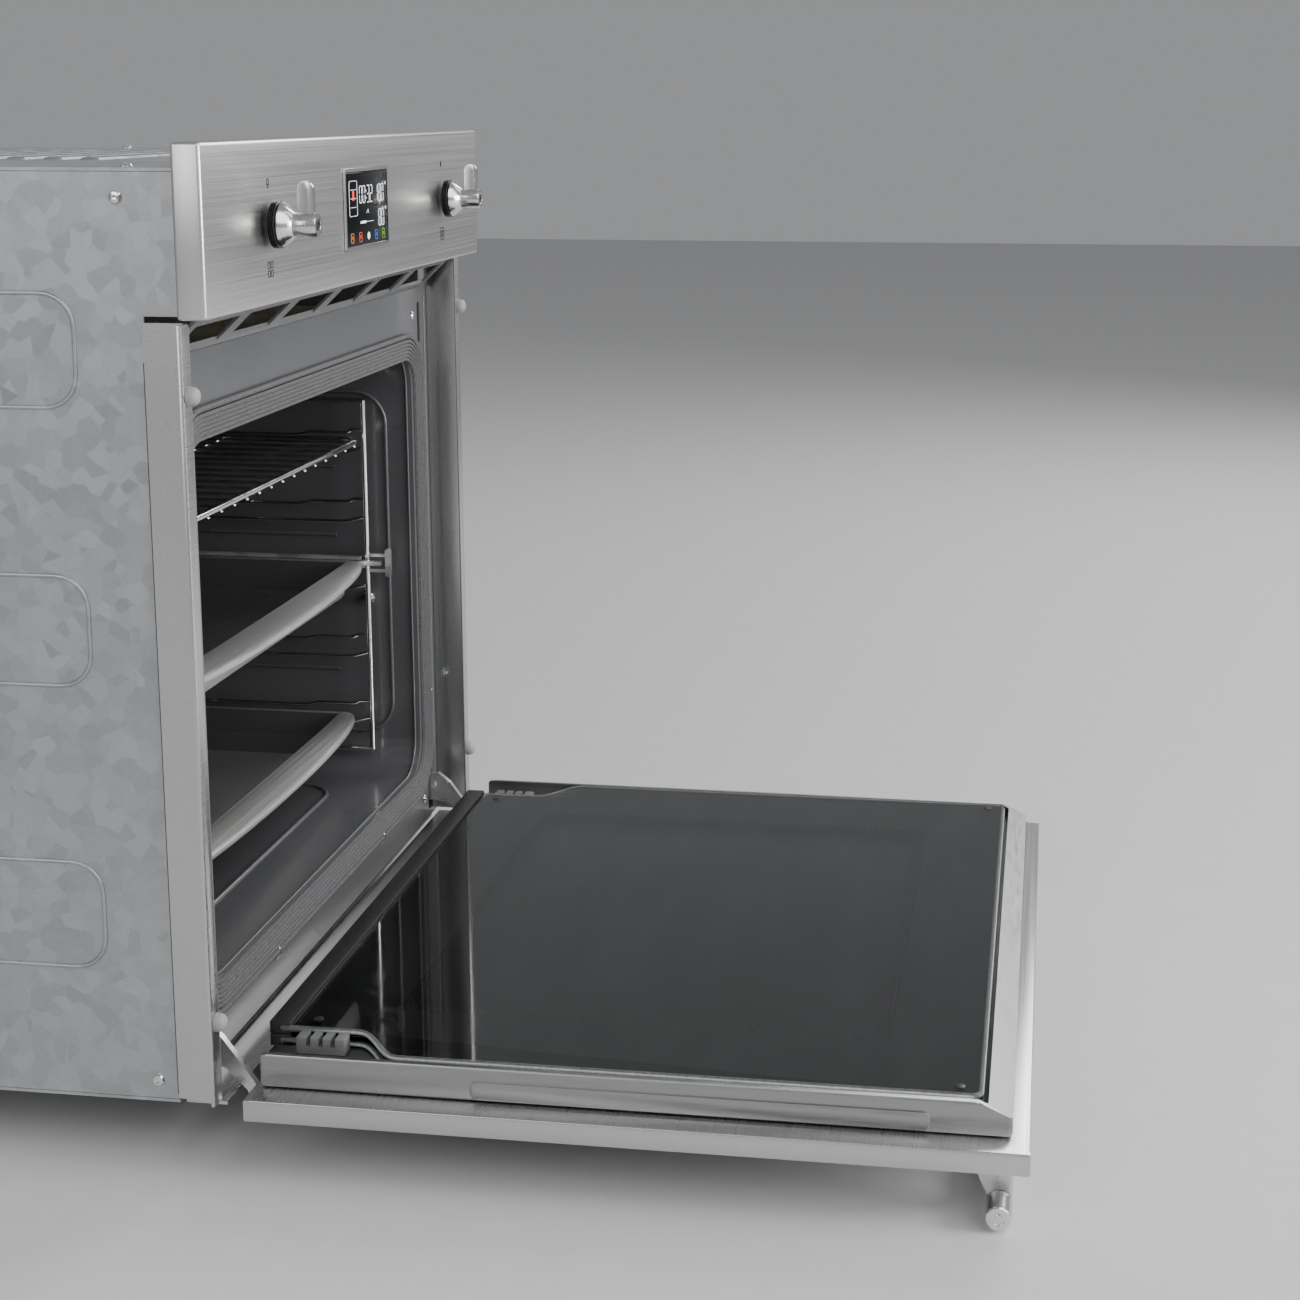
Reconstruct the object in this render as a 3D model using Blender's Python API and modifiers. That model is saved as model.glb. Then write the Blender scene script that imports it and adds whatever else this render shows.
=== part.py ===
"""A 60 cm built-in oven with its door open and the two removable panes in their seats.

World frame: X across, Y into the cabinet, Z up, metres.  The origin is on the underside
of the base plate, where the oven stands in its niche.  Helpers take millimetres in oven
coordinates: x across, u outward from the front plane, z up.
"""
import math

import bmesh
import bpy
from mathutils import Matrix, Vector

MM = 0.001
GAP = 0.3                 # clearance between touching pieces

FACE_W = 597.0            # width over the control panel and the door
FACE_H = 592.0            # height from the base to the top of the control panel
BODY_W = 558.0            # width of the housing in the niche
BODY_H = 577.0
BODY_D = 548.0            # from the front plane to the back panel
PANEL_H = 101.5           # control panel height
FRONT_Y = -270.0          # the front plane in world Y

SHEET = 1.5               # housing sheet
PLATE = 2.0               # base plate and top cover
SHEET_GAP = 2.3           # side and back panels stand clear of the plates by this
BODY_FRONT_U = -46.5      # front edge of the housing, behind the face frame
CHEEK_U = -20.0           # side panel edge behind the control panel
CHEEK_Z = 491.0           # and the height where it steps out to it
FACE_HW = 283.5           # half width of the face frame
FACE_LOW = 8.0
FACE_TOP = 464.0
HINGE_X = 262.0           # each hinge arm from the middle
HINGE_SLOT_HW = 6.0
HINGE_SLOT_Z = (14.0, 50.0)
HANDLE_S = 461.0          # handle bar centre on the open door
HANDLE_T = -32.0
HANDLE_R = 7.8
TRIM_X = (284.0, 296.5)
TRIM_Z = (6.5, 488.0)
TRIM_U = (-16.5, -44.0)
VENT_COUNT = 6
VENT_PITCH = 90.0
VENT_HW = 36.0
DISPLAY_HW = 46.0
DISPLAY_Z = (516.0, 567.0)
FRAME_U = -42.0           # front of the enamelled face frame
FRAME_T = 4.0
GASKET_U = -37.6
MOUTH_HW = 236.0          # half width of the cavity mouth
MOUTH_Z0 = 56.0
MOUTH_Z1 = 414.0
CAVITY_BACK_U = -452.0

HINGE_U = -4.0            # door hinge axis
HINGE_Z = 4.0
DOOR_S0 = 1.5             # near and far ends of the open door, along u
DOOR_S1 = 479.0
DOOR_T = 36.0             # thickness over the ridges
SKIN_T = 14.0
FRAME_HW = 280.0          # half width of the inner door frame
LEDGE_T = 24.5            # height of the ledge that carries the panes
PANE_END = 450.0
PANE_T = 4.0
MIDDLE_T = 27.0           # mid height of each pane in its seat
INNER_T = 35.0
PANE_NARROW = 239.0
PANE_WIDE = 272.0

KNOB_X = 192.0
KNOB_Z = 540.0
RACK_X = 218.0
SHELF_SLOTS = 18
SLOT_SPAN = 213.0         # half width over the shelf's slots
SHELF_BAR = 3.6           # width of each bar between two slots
SLOT_PITCH = (2 * SLOT_SPAN + SHELF_BAR) / SHELF_SLOTS

STEEL = ((0.62, 0.62, 0.61), 0.30, 1.0)
CHROME = ((0.75, 0.75, 0.75), 0.15, 1.0)
ENAMEL = ((0.16, 0.16, 0.165), 0.25, 0.2)
ZINC = ((0.48, 0.49, 0.50), 0.50, 0.9)
BLACK = ((0.02, 0.02, 0.02), 0.45, 0.0)
RUBBER = ((0.06, 0.06, 0.06), 0.70, 0.0)
GLASS = ((0.09, 0.10, 0.10), 0.05, 0.0)
GREY = ((0.38, 0.38, 0.38), 0.45, 0.0)
WOOL = ((0.70, 0.66, 0.55), 0.90, 0.0)

for old in list(bpy.data.objects):
    bpy.data.objects.remove(old, do_unlink=True)

OVEN = bpy.data.collections.new("wall_oven")
CUTTERS = bpy.data.collections.new("cutters")
bpy.context.scene.collection.children.link(OVEN)
bpy.context.scene.collection.children.link(CUTTERS)


# ---------------------------------------------------------------- helpers

def world(x, u, z):
    """Oven coordinates in millimetres to a world point in metres."""
    return Vector((x * MM, (FRONT_Y - u) * MM, z * MM))


def material(name, finish):
    colour, roughness, metallic = finish
    mat = bpy.data.materials.new(name + "_finish")
    mat.use_nodes = True
    shader = mat.node_tree.nodes["Principled BSDF"]
    shader.inputs["Base Color"].default_value = (*colour, 1.0)
    shader.inputs["Roughness"].default_value = roughness
    shader.inputs["Metallic"].default_value = metallic
    mat.diffuse_color = (*colour, 1.0)
    return mat


def adopt(obj, name, finish=None):
    """Name an object, give it its own material and file it under the oven."""
    obj.name = name
    obj.data.name = name
    for coll in list(obj.users_collection):
        coll.objects.unlink(obj)
    if finish is None:
        CUTTERS.objects.link(obj)
        obj.hide_render = True
        obj.display_type = "WIRE"
    else:
        OVEN.objects.link(obj)
        obj.data.materials.clear()
        obj.data.materials.append(material(name, finish))
    return obj


def box(name, x, u, z, finish=None, bevel=0.0, segments=2):
    """An upright box between the given x, u and z pairs."""
    low = world(min(x), max(u), min(z))
    high = world(max(x), min(u), max(z))
    bpy.ops.mesh.primitive_cube_add(size=1.0, location=(low + high) / 2)
    obj = bpy.context.object
    obj.data.transform(Matrix.Diagonal((*(high - low), 1.0)))
    adopt(obj, name, finish)
    if bevel:
        add_bevel(obj, bevel, segments)
    return obj


def add_bevel(obj, width, segments=2, angle=40.0):
    mod = obj.modifiers.new("soft_edges", "BEVEL")
    mod.width = width * MM
    mod.segments = segments
    mod.limit_method = "ANGLE"
    mod.angle_limit = math.radians(angle)
    return mod


def cut(obj, *tools, operation="DIFFERENCE"):
    for tool in tools:
        mod = obj.modifiers.new("cut", "BOOLEAN")
        mod.operation = operation
        mod.solver = "EXACT"
        mod.object = tool
    return obj


def frozen(obj):
    """Replace an object's mesh with its evaluated one, so that later steps see it."""
    graph = bpy.context.evaluated_depsgraph_get()
    mesh = bpy.data.meshes.new_from_object(obj.evaluated_get(graph))
    bm = bmesh.new()
    bm.from_mesh(mesh)
    bmesh.ops.remove_doubles(bm, verts=bm.verts, dist=1e-6)
    bmesh.ops.recalc_face_normals(bm, faces=bm.faces)
    bm.to_mesh(mesh)
    bm.free()
    new = bpy.data.objects.new(obj.name + "_mesh", mesh)
    new.matrix_world = obj.matrix_world.copy()
    bpy.context.scene.collection.objects.link(new)
    bpy.data.objects.remove(obj, do_unlink=True)
    return new


def outline(name, points, centre, thickness, axis, finish=None, holes=()):
    """A flat outline with holes, extruded about its middle.

    axis "x": points are (u, z); axis "u": points are (x, z); axis "z": points are (x, u).
    """
    curve = bpy.data.curves.new(name, "CURVE")
    curve.dimensions = "2D"
    curve.fill_mode = "BOTH"
    curve.extrude = thickness * MM / 2
    for loop in (points, *holes):
        spline = curve.splines.new("POLY")
        spline.points.add(len(loop) - 1)
        for point, (a, b) in zip(spline.points, loop):
            point.co = (a * MM, b * MM, 0.0, 1.0)
        spline.use_cyclic_u = True
    obj = bpy.data.objects.new(name, curve)
    bpy.context.scene.collection.objects.link(obj)
    if axis == "x":
        columns = (Vector((0, -1, 0)), Vector((0, 0, 1)), Vector((-1, 0, 0)))
        place = world(centre, 0, 0)
    elif axis == "u":
        columns = (Vector((1, 0, 0)), Vector((0, 0, 1)), Vector((0, -1, 0)))
        place = world(0, centre, 0)
    else:
        columns = (Vector((1, 0, 0)), Vector((0, -1, 0)), Vector((0, 0, -1)))
        place = world(0, 0, centre)
    turn = Matrix(columns).transposed().to_4x4()
    obj.matrix_world = Matrix.Translation(place) @ turn
    bpy.context.view_layer.update()
    return adopt(frozen(obj), name, finish)


def rounded(x0, x1, z0, z1, radius, steps=5):
    """Corner-rounded rectangle, counter-clockwise."""
    points = []
    corners = ((x1, z0, -90), (x1, z1, 0), (x0, z1, 90), (x0, z0, 180))
    for cx, cz, start in corners:
        ox = cx - radius if cx == x1 else cx + radius
        oz = cz - radius if cz == z1 else cz + radius
        for k in range(steps + 1):
            a = math.radians(start + 90 * k / steps)
            points.append((ox + radius * math.cos(a), oz + radius * math.sin(a)))
    return points


def circle(cx, cz, radius, steps=16):
    return [(cx + radius * math.cos(2 * math.pi * k / steps),
             cz + radius * math.sin(2 * math.pi * k / steps)) for k in range(steps)]


def rod(name, centre, radius, length, axis, finish=None, steps=16):
    """A straight round bar; axis is x, u or z and centre is (x, u, z)."""
    bpy.ops.mesh.primitive_cylinder_add(vertices=steps, radius=radius * MM, depth=length * MM,
                                        location=world(*centre))
    obj = bpy.context.object
    if axis == "x":
        obj.data.transform(Matrix.Rotation(math.radians(90), 4, "Y"))
    elif axis == "u":
        obj.data.transform(Matrix.Rotation(math.radians(90), 4, "X"))
    return adopt(obj, name, finish)


def turned(name, x, z, profile, finish, steps=24):
    """A turned piece about an axis along u: profile is (radius, u), closed by the axis."""
    mesh = bpy.data.meshes.new(name)
    verts = [(r * MM, 0.0, u * MM) for r, u in profile]
    mesh.from_pydata(verts, [(k, k + 1) for k in range(len(verts) - 1)], [])
    obj = bpy.data.objects.new(name, mesh)
    bpy.context.scene.collection.objects.link(obj)
    obj.matrix_world = Matrix.Translation(world(x, 0, z)) @ Matrix.Rotation(math.radians(90), 4, "X")
    screw = obj.modifiers.new("turn", "SCREW")
    screw.steps = steps
    screw.render_steps = steps
    screw.use_merge_vertices = True
    screw.merge_threshold = 0.00001
    bpy.context.view_layer.update()
    new = adopt(frozen(obj), name, finish)
    new.data.set_sharp_from_angle(angle=math.radians(35))
    return new


def tube(name, points, radius, finish, resolution=1):
    """A wire through (x, u, z) points."""
    curve = bpy.data.curves.new(name, "CURVE")
    curve.dimensions = "3D"
    curve.bevel_depth = radius * MM
    curve.bevel_resolution = resolution
    curve.use_fill_caps = True
    spline = curve.splines.new("POLY")
    spline.points.add(len(points) - 1)
    for point, place in zip(spline.points, points):
        point.co = (*world(*place), 1.0)
    obj = bpy.data.objects.new(name, curve)
    bpy.context.scene.collection.objects.link(obj)
    bpy.context.view_layer.update()
    return adopt(frozen(obj), name, finish)


def pivot(name, x, u, z, *children):
    """An empty on a joint axis that carries its moving pieces."""
    empty = bpy.data.objects.new(name, None)
    empty.location = world(x, u, z)
    OVEN.objects.link(empty)
    bpy.context.view_layer.update()
    for child in children:
        keep = child.matrix_world.copy()
        child.parent = empty
        child.matrix_parent_inverse = empty.matrix_world.inverted()
        child.matrix_world = keep
    return empty


# ---------------------------------------------------------------- housing

def build_housing():
    half = BODY_W / 2
    back = -BODY_D
    low = SHEET_GAP
    high = BODY_H - SHEET_GAP
    rear = back + PLATE
    inner = half - SHEET - GAP
    box("base_plate", (-half, half), (BODY_FRONT_U, back), (0, PLATE), ZINC)
    for side, sign in (("left", -1), ("right", 1)):
        cheek = [(BODY_FRONT_U, low), (BODY_FRONT_U, CHEEK_Z), (CHEEK_U, CHEEK_Z),
                 (CHEEK_U, high), (rear, high), (rear, low)]
        outline(side + "_side_panel", cheek, sign * (half - SHEET / 2), SHEET, "x", ZINC)
    box("back_panel", (-inner, inner), (back, back + SHEET), (low, high), ZINC)
    box("top_cover", (-half, half), (CHEEK_U, back), (BODY_H - PLATE, BODY_H), ZINC)
    wrap = box("insulation_wrap", (-272, 272), (-80, -510), (14, 446), WOOL)
    cut(wrap, box("wrap_core", (-246, 246), (-70, -476), (28, 427)),
        rod("wrap_shaft", (0, -490, 235), 48, 80, "u"))
    box("terminal_box", (150, 230), (-500, -545.5), (500, 550), BLACK, bevel=3)


def build_face():
    slots = [rounded(257, 264, 418, 452, 3, 3)]
    for sign in (-1, 1):
        middle = sign * HINGE_X
        slots.append(rounded(middle - HINGE_SLOT_HW, middle + HINGE_SLOT_HW, *HINGE_SLOT_Z,
                             2, 2))
    mouth = rounded(-MOUTH_HW, MOUTH_HW, MOUTH_Z0, MOUTH_Z1, 30)
    face = [(-FACE_HW, FACE_LOW), (FACE_HW, FACE_LOW), (FACE_HW, FACE_TOP),
            (-FACE_HW, FACE_TOP)]
    frame = outline("face_frame", face, FRAME_U - FRAME_T / 2, FRAME_T, "u", ENAMEL,
                    (mouth, *slots))
    frame.data.set_sharp_from_angle(angle=math.radians(30))
    outline("door_gasket", rounded(-264, 264, 34, 430, 46, 7), (FRAME_U + GAP + GASKET_U) / 2,
            GASKET_U - FRAME_U - GAP, "u", RUBBER, (rounded(-241, 241, 58, 408, 26, 7),))
    for side, sign in (("left", -1), ("right", 1)):
        near, far = (sign * x for x in TRIM_X)
        trim = box(side + "_side_trim", (near, far), TRIM_U, TRIM_Z, STEEL, bevel=1.5)
        inner = near + sign * 2.5
        cut(trim, box(side + "_trim_channel", (inner, sign * 300), (-19, -60), (0, 500)))
    box("bottom_trim", (-283, 283), (-14, -41), (2.3, 5.3), STEEL, bevel=0.8)


def build_vent_grille():
    """Sheet under the control panel: a flat lip, then a slope with six slots."""
    profile = [(-17, 490.2), (-15.6, 489), (-15.6, 487.8), (-17.4, 487.4),
               (-41.5, 464.4), (-46, 464.4), (-46, 466.2), (-42.3, 466.2)]
    grille = outline("vent_grille", profile, 0, 544, "x", ENAMEL)
    first = -VENT_PITCH * (VENT_COUNT - 1) / 2
    for k in range(VENT_COUNT):
        x = first + VENT_PITCH * k
        slot = box("vent_slot_%d" % k, (x - VENT_HW, x + VENT_HW), (-21.5, -38), (455, 500))
        cut(grille, slot)


def build_control_panel():
    half = FACE_W / 2
    z0 = FACE_H - PANEL_H
    panel = box("control_panel", (-half, half), (0, -18), (z0, FACE_H), STEEL, bevel=2.2,
                segments=3)
    tools = [box("panel_hollow", (-half + 1.5, half - 1.5), (-1.5, -30),
                 (z0 + 1.5, FACE_H - 1.5)),
             box("display_hole", (-DISPLAY_HW, DISPLAY_HW), (10, -10), DISPLAY_Z)]
    for sign in (-1, 1):
        tools.append(rod("spindle_hole_%d" % (sign + 1), (sign * KNOB_X, 0, KNOB_Z), 4, 30, "u"))
    cut(panel, *tools)
    low, high = DISPLAY_Z
    outer = DISPLAY_HW + 2.5
    inner = DISPLAY_HW + GAP
    glass = DISPLAY_HW - GAP
    outline("display_bezel", rounded(-outer, outer, low - 2.5, high + 2.5, 2.5, 3), 0.9, 1.2, "u",
            CHROME, (rounded(-inner, inner, low - GAP, high + GAP, 1.5, 3),))
    box("display_glass", (-glass, glass), (1.2, -6), (low + GAP, high - GAP), BLACK, bevel=0.6)
    box("control_board", (-90, 90), (-8, -11), (500, 580), BLACK)


def knob(side, sign):
    x = sign * KNOB_X
    spindle = rod(side + "_knob_spindle", (x, -8, KNOB_Z), 3, 40, "u", STEEL, 12)
    ring = [(7.0, 3.4), (14.2, 3.4), (14.6, 4.4), (13.6, 5.2), (14.6, 6.0), (14.6, 7.4),
            (13.8, 8.4), (7.0, 8.4), (7.0, 3.4)]
    collar = turned(side + "_knob_ring", x, KNOB_Z, ring[::-1], RUBBER)
    body = [(3.4, 15.5), (3.4, 8.7), (13.4, 8.7), (13.9, 9.4), (13.6, 10.2), (8.6, 16.2),
            (7.4, 17.0), (7.4, 31.0), (6.9, 31.8), (4.4, 31.8), (4.0, 31.2), (0.0, 31.2)]
    body = [(0.0, 15.5)] + body
    handle = turned(side + "_knob_core", x, KNOB_Z, body[::-1], STEEL)
    lever_points = [(19.0, 0.0), (30.0, 0.0)]
    for k in range(9):
        a = math.pi * k / 8
        lever_points.append((24.5 + 5.0 * math.cos(a), 22.0 + 5.0 * math.sin(a)))
    lever = outline(side + "_lever", [(u, z + KNOB_Z) for u, z in lever_points], x, 4.2, "x")
    add_bevel(lever, 0.7, 2, 30)
    cut(handle, lever, operation="UNION")
    bpy.context.view_layer.update()
    handle.name = side + "_knob"
    pivot(side + "_knob_axis", x, 0, KNOB_Z, spindle, collar, handle)


# ---------------------------------------------------------------- cavity

def build_cavity():
    liner = box("cavity_liner", (-244, 244), (-46.4, -462), (45, 424), ENAMEL, bevel=6)
    hollow = outline("liner_hollow", rounded(-MOUTH_HW, MOUTH_HW, MOUTH_Z0, MOUTH_Z1, 30),
                     (CAVITY_BACK_U - 40) / 2, -CAVITY_BACK_U - 40, "u")
    shaft = rod("liner_shaft_hole", (0, -456, 235), 7, 40, "u")
    cut(liner, hollow, shaft)
    holes = [circle(0, 235, 11)]
    for radius, count in ((32, 8), (54, 14), (76, 20)):
        for k in range(count):
            a = 2 * math.pi * k / count
            holes.append(circle(radius * math.cos(a), 235 + radius * math.sin(a), 6.5, 8))
    outline("fan_cover", rounded(-175, 175, 92, 378, 22, 4), -421, 2, "u", ENAMEL, holes)
    arc = [math.radians(-80 + 340 * k / 30) for k in range(31)]
    tube("ring_element", [(108 * math.cos(a), -437, 235 + 108 * math.sin(a)) for a in arc],
         3.5, BLACK)
    tube("grill_element", serpentine(401, 3), 3.5, BLACK)
    tube("bottom_element", serpentine(37, 3), 3.0, BLACK)
    box("lamp_cover", (-150, -96), (-80, -134), (408.5, 413.5), GLASS, bevel=2)


def serpentine(z, loops):
    """A flat heating element that runs back and forth, front to back."""
    points = []
    step = 300 / (2 * loops)
    for k in range(2 * loops + 1):
        x = -150 + step * k
        ends = (-150, -390) if k % 2 == 0 else (-390, -150)
        points.append((x, ends[0], z))
        points.append((x, ends[1], z))
    return points


def build_fans():
    star = []
    for k in range(32):
        a = 2 * math.pi * k / 32
        r = 74 if k % 4 in (0, 1) else 26
        star.append((r * math.cos(a), 235 + r * math.sin(a)))
    rotor = outline("convection_fan", star, -437, 18, "u", ZINC)
    shaft = rod("fan_shaft", (0, -458, 235), 4, 60, "u")
    cut(rotor, shaft, operation="UNION")
    motor = rod("convection_motor", (0, -506, 235), 40, 52, "u", ZINC, 20)
    cut(motor, rod("motor_bore", (0, -482, 235), 4.6, 24, "u"))
    pivot("convection_fan_axis", 0, -437, 235, rotor)
    housing = box("blower_housing", (-190, 190), (-300, -400), (455, 565), ZINC, bevel=4)
    cut(housing, rod("blower_scroll", (0, -350, 510), 42, 372, "x"),
        box("blower_mouth", (-170, 170), (-250, -350), (490, 545)),
        rod("blower_end", (0, -350, 510), 6, 420, "x"))
    wheel = outline("blower_rotor", gear(36, 27, 12, -350, 510), 0, 352, "x", ZINC)
    axle = rod("blower_axle", (0, -350, 510), 4, 400, "x")
    cut(wheel, axle, operation="UNION")
    pivot("blower_axis", 0, -350, 510, wheel)
    motor = rod("blower_motor", (222, -350, 510), 32, 40, "x", ZINC, 20)
    cut(motor, rod("blower_motor_bore", (200, -350, 510), 4.6, 10, "x"))


def gear(outer, inner, count, cu, cz):
    points = []
    for k in range(count):
        for share, radius in ((0.0, outer), (0.35, outer), (0.45, inner), (0.9, inner)):
            a = 2 * math.pi * (k + share) / count
            points.append((cu + radius * math.cos(a), cz + radius * math.sin(a)))
    return points


RAIL_LEVELS = (118.0, 175.5, 233.5, 291.0, 349.0)


def build_racks():
    """Side frames as ladders of flat bars, and what slides on them."""
    for side, sign in (("left", -1), ("right", 1)):
        holes = []
        edges = [78.0]
        for z in RAIL_LEVELS:
            edges.extend((z - 14.5, z))
        edges.append(372.0)
        for low, high in zip(edges[:-1], edges[1:]):
            holes.append([(-396, low + 1.8), (-82, low + 1.8), (-82, high - 1.8),
                          (-396, high - 1.8)])
        body = [(-400, 74.5), (-78, 74.5), (-78, 375.5), (-400, 375.5)]
        outline(side + "_rack_frame", body, sign * (RACK_X + 6), 3.6, "x", CHROME, holes)
        rail = box(side + "_guide_rail", (sign * 221.4, sign * 215.5), (-84, -396),
                   (234.2, 243.4), ZINC)
        cut(rail, box(side + "_guide_channel", (sign * 219, sign * 205), (-70, -410),
                      (236.5, 241.1)))
        slide = box(side + "_guide_slide", (sign * 218.6, sign * 213.4), (-66, -390),
                    (236.9, 240.7), STEEL)
        pivot(side + "_slide_axis", sign * 216, -66, 239, slide)
    build_shelf()
    build_tray("deep_tray", 243.0, 30.0, 212.6)
    build_tray("baking_tray", 112.0, 24.0, 219.0)


def build_shelf():
    """A flat grid whose bars run front to back."""
    holes = []
    for k in range(SHELF_SLOTS):
        x0 = -SLOT_SPAN + SLOT_PITCH * k
        x1 = x0 + SLOT_PITCH - SHELF_BAR
        holes.append([(x0, -394), (x1, -394), (x1, -96), (x0, -96)])
    body = [(-219, -400), (219, -400), (219, -90), (208, -78), (-208, -78), (-219, -90)]
    shelf = outline("wire_shelf", body, 342, 4, "z", CHROME, holes)
    pivot("wire_shelf_axis", 0, -78, 342, shelf)


def build_tray(name, rim_z, depth, half):
    """A pressed tray: a flat rim all round and a hollow with sloping corners."""
    front = -62 if name == "deep_tray" else -74
    rim = [(-half, -400), (half, -400), (half, front - 26)]
    for k in range(1, 12):
        a = math.pi * k / 12
        rim.append((half * math.cos(a), front - 26 + 26 * math.sin(a)))
    rim.append((-half, front - 26))
    top = 2.4 if name == "baking_tray" else 2.0
    tray = outline(name, rim, rim_z - top / 2, top, "z", STEEL)
    hw = half - 12
    body = box(name + "_body", (-hw, hw), (front - 30, -386), (rim_z - depth, rim_z - 0.5),
               bevel=4)
    hollow = box(name + "_hollow", (-hw + 1.6, hw - 1.6), (front - 31.6, -384.4),
                 (rim_z - depth + 1.6, rim_z + 20), bevel=4)
    cut(tray, body, operation="UNION")
    cut(tray, hollow)
    pivot(name + "_axis", 0, front, rim_z, tray)


# ---------------------------------------------------------------- door

def build_door():
    """The open door lies flat: s runs along u and t along z, from its outer face."""
    half = FACE_W / 2
    skin = box("door_skin", (-half, half), (DOOR_S0, DOOR_S1), (0, SKIN_T), STEEL, bevel=1.2)
    cut(skin, box("skin_hollow", (-half + 1.5, half - 1.5), (DOOR_S0 + 1.5, DOOR_S1 - 1.5),
                  (1.5, SKIN_T - 1.5)),
        box("skin_mouth", (-272, 272), (14, 460), (4, 30)),
        outline("skin_window", rounded(-230, 230, 70, 400, 14, 4), 0, 20, "z"),
        *hinge_slots("skin", 2.2))
    pane = outline("outer_glass", rounded(-290, 290, 10, 470, 6, 3), 3.8, PANE_T, "z", GLASS)
    frame = box("inner_door_frame", (-FRAME_HW, FRAME_HW), (6, 468), (SKIN_T + GAP, DOOR_T),
                ENAMEL, bevel=2.5)
    slope = outline("frame_slope", [(446, 36.6), (474, 24), (474, 60), (446, 60)], 0, 640, "x")
    cut(frame, outline("frame_window", rounded(-246, 246, 60, 424, 16, 4), 20, 60, "z"),
        box("frame_ledge", (-276, 276), (-20, 453.5), (LEDGE_T, 60), bevel=2),
        box("strip_pocket", (-241, 241), (-20, 15), (20.6, 60)),
        slope, *hinge_slots("frame", 2.2))
    clips = []
    for side, sign in (("left", -1), ("right", 1)):
        clips.append(clip(side + "_hinge_side_clip", sign * 247, 20, 52, LEDGE_T + GAP, DOOR_T))
        clips.append(clip(side + "_free_side_clip", sign * 238, 378, 406, 6.1, LEDGE_T - GAP))
    parts = [skin, pane, frame, *clips, *build_handle()]
    middle = pane_with_strip("middle", MIDDLE_T, 22.8, 30.9)
    inner = pane_with_strip("inner", INNER_T, 31.2, 39.4)
    door = pivot("door_axis", 0, HINGE_U, HINGE_Z, *parts)
    for axis_name, pieces, spot in (("middle_glass_axis", middle, MIDDLE_LIFT),
                                    ("inner_glass_axis", inner, INNER_LIFT)):
        carrier = pivot(axis_name, 0, spot[0], spot[1], *pieces)
        keep = carrier.matrix_world.copy()
        carrier.parent = door
        carrier.matrix_parent_inverse = door.matrix_world.inverted()
        carrier.matrix_world = keep


def lift_centre(seat_t, middle_u, middle_z, tilt):
    """Point about which a pane turns from its seat to its lifted place."""
    length = PANE_END + 2.0
    seat = Vector((PANE_END - length / 2, seat_t))
    lifted = Vector((middle_u, middle_z))
    a = math.radians(-tilt)
    turn = Matrix(((math.cos(a), -math.sin(a)), (math.sin(a), math.cos(a))))
    rest = Matrix.Identity(2) - turn
    centre = rest.inverted() @ (lifted - turn @ seat)
    return centre.x, centre.y


MIDDLE_LIFT = lift_centre(MIDDLE_T, 230.0, 119.0, 20.0)
INNER_LIFT = lift_centre(INNER_T, 358.0, 237.0, 33.8)


def hinge_slots(label, low):
    half = HINGE_SLOT_HW + 0.5
    return [box("%s_hinge_slot_%d" % (label, sign + 1),
                (sign * HINGE_X - half, sign * HINGE_X + half), (-20, 46), (low, 60))
            for sign in (-1, 1)]


def clip(name, x, s0, s1, t0, t1):
    """A comb-shaped glass holder: a block with three slots across it."""
    block = box(name, (x - 5.5, x + 5.5), (s0, s1), (t0, t1), GREY, bevel=1.0)
    pitch = (s1 - s0) / 4
    for k in range(3):
        mid = s0 + pitch * (k + 1)
        cut(block, box("%s_slot_%d" % (name, k), (x - 20, x + 20), (mid - 1.6, mid + 1.6),
                       (t0 + 5, t1 + 10)))
    return block


def build_handle():
    bar = rod("handle_bar", (0, HANDLE_S, HANDLE_T), HANDLE_R, 578, "x", STEEL, 24)
    add_bevel(bar, 0.8, 2, 50)
    posts = []
    for side, sign in (("left", -1), ("right", 1)):
        shape = [(441, -GAP), (468, -GAP), (468, -31), (464, -39), (457, -37), (452, -26)]
        x = sign * HINGE_X
        post = outline(side + "_handle_post", shape, x, 15, "x", STEEL)
        add_bevel(post, 1.5, 2, 30)
        cut(post, rod(side + "_post_bore", (x, HANDLE_S, HANDLE_T), HANDLE_R + GAP, 40, "x",
                      None, 24))
        posts.append(post)
    return [bar, *posts]


def pane_outline(s0):
    """Half outline narrow at the hinge side, wide beyond an S-shaped shoulder."""
    right = [(PANE_NARROW, s0)]
    for k in range(9):
        share = k / 8
        blend = share * share * (3 - 2 * share)
        right.append((PANE_NARROW + (PANE_WIDE - PANE_NARROW) * blend, 57 + 34 * share))
    for k in range(5):
        a = math.radians(90 * k / 4)
        right.append((PANE_WIDE - 5 + 5 * math.cos(a), PANE_END - 5 + 5 * math.sin(a)))
    return right + [(-x, s) for x, s in reversed(right)]


def pane_with_strip(label, middle_t, low, high):
    pane = outline(label + "_glass", pane_outline(4.0), middle_t, PANE_T, "z", GLASS)
    strip = box(label + "_glass_strip", (-PANE_NARROW, PANE_NARROW), (-2, 12), (low, high),
                BLACK, bevel=0.8)
    half = PANE_T / 2 + GAP
    cut(strip, box(label + "_strip_groove", (-260, 260), (3.7, 30),
                   (middle_t - half, middle_t + half)),
        box(label + "_strip_channel", (-PANE_NARROW + 6, PANE_NARROW - 6), (-4, 1.6),
            (middle_t - 1.6, middle_t + 1.6)))
    return [pane, strip]


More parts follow.
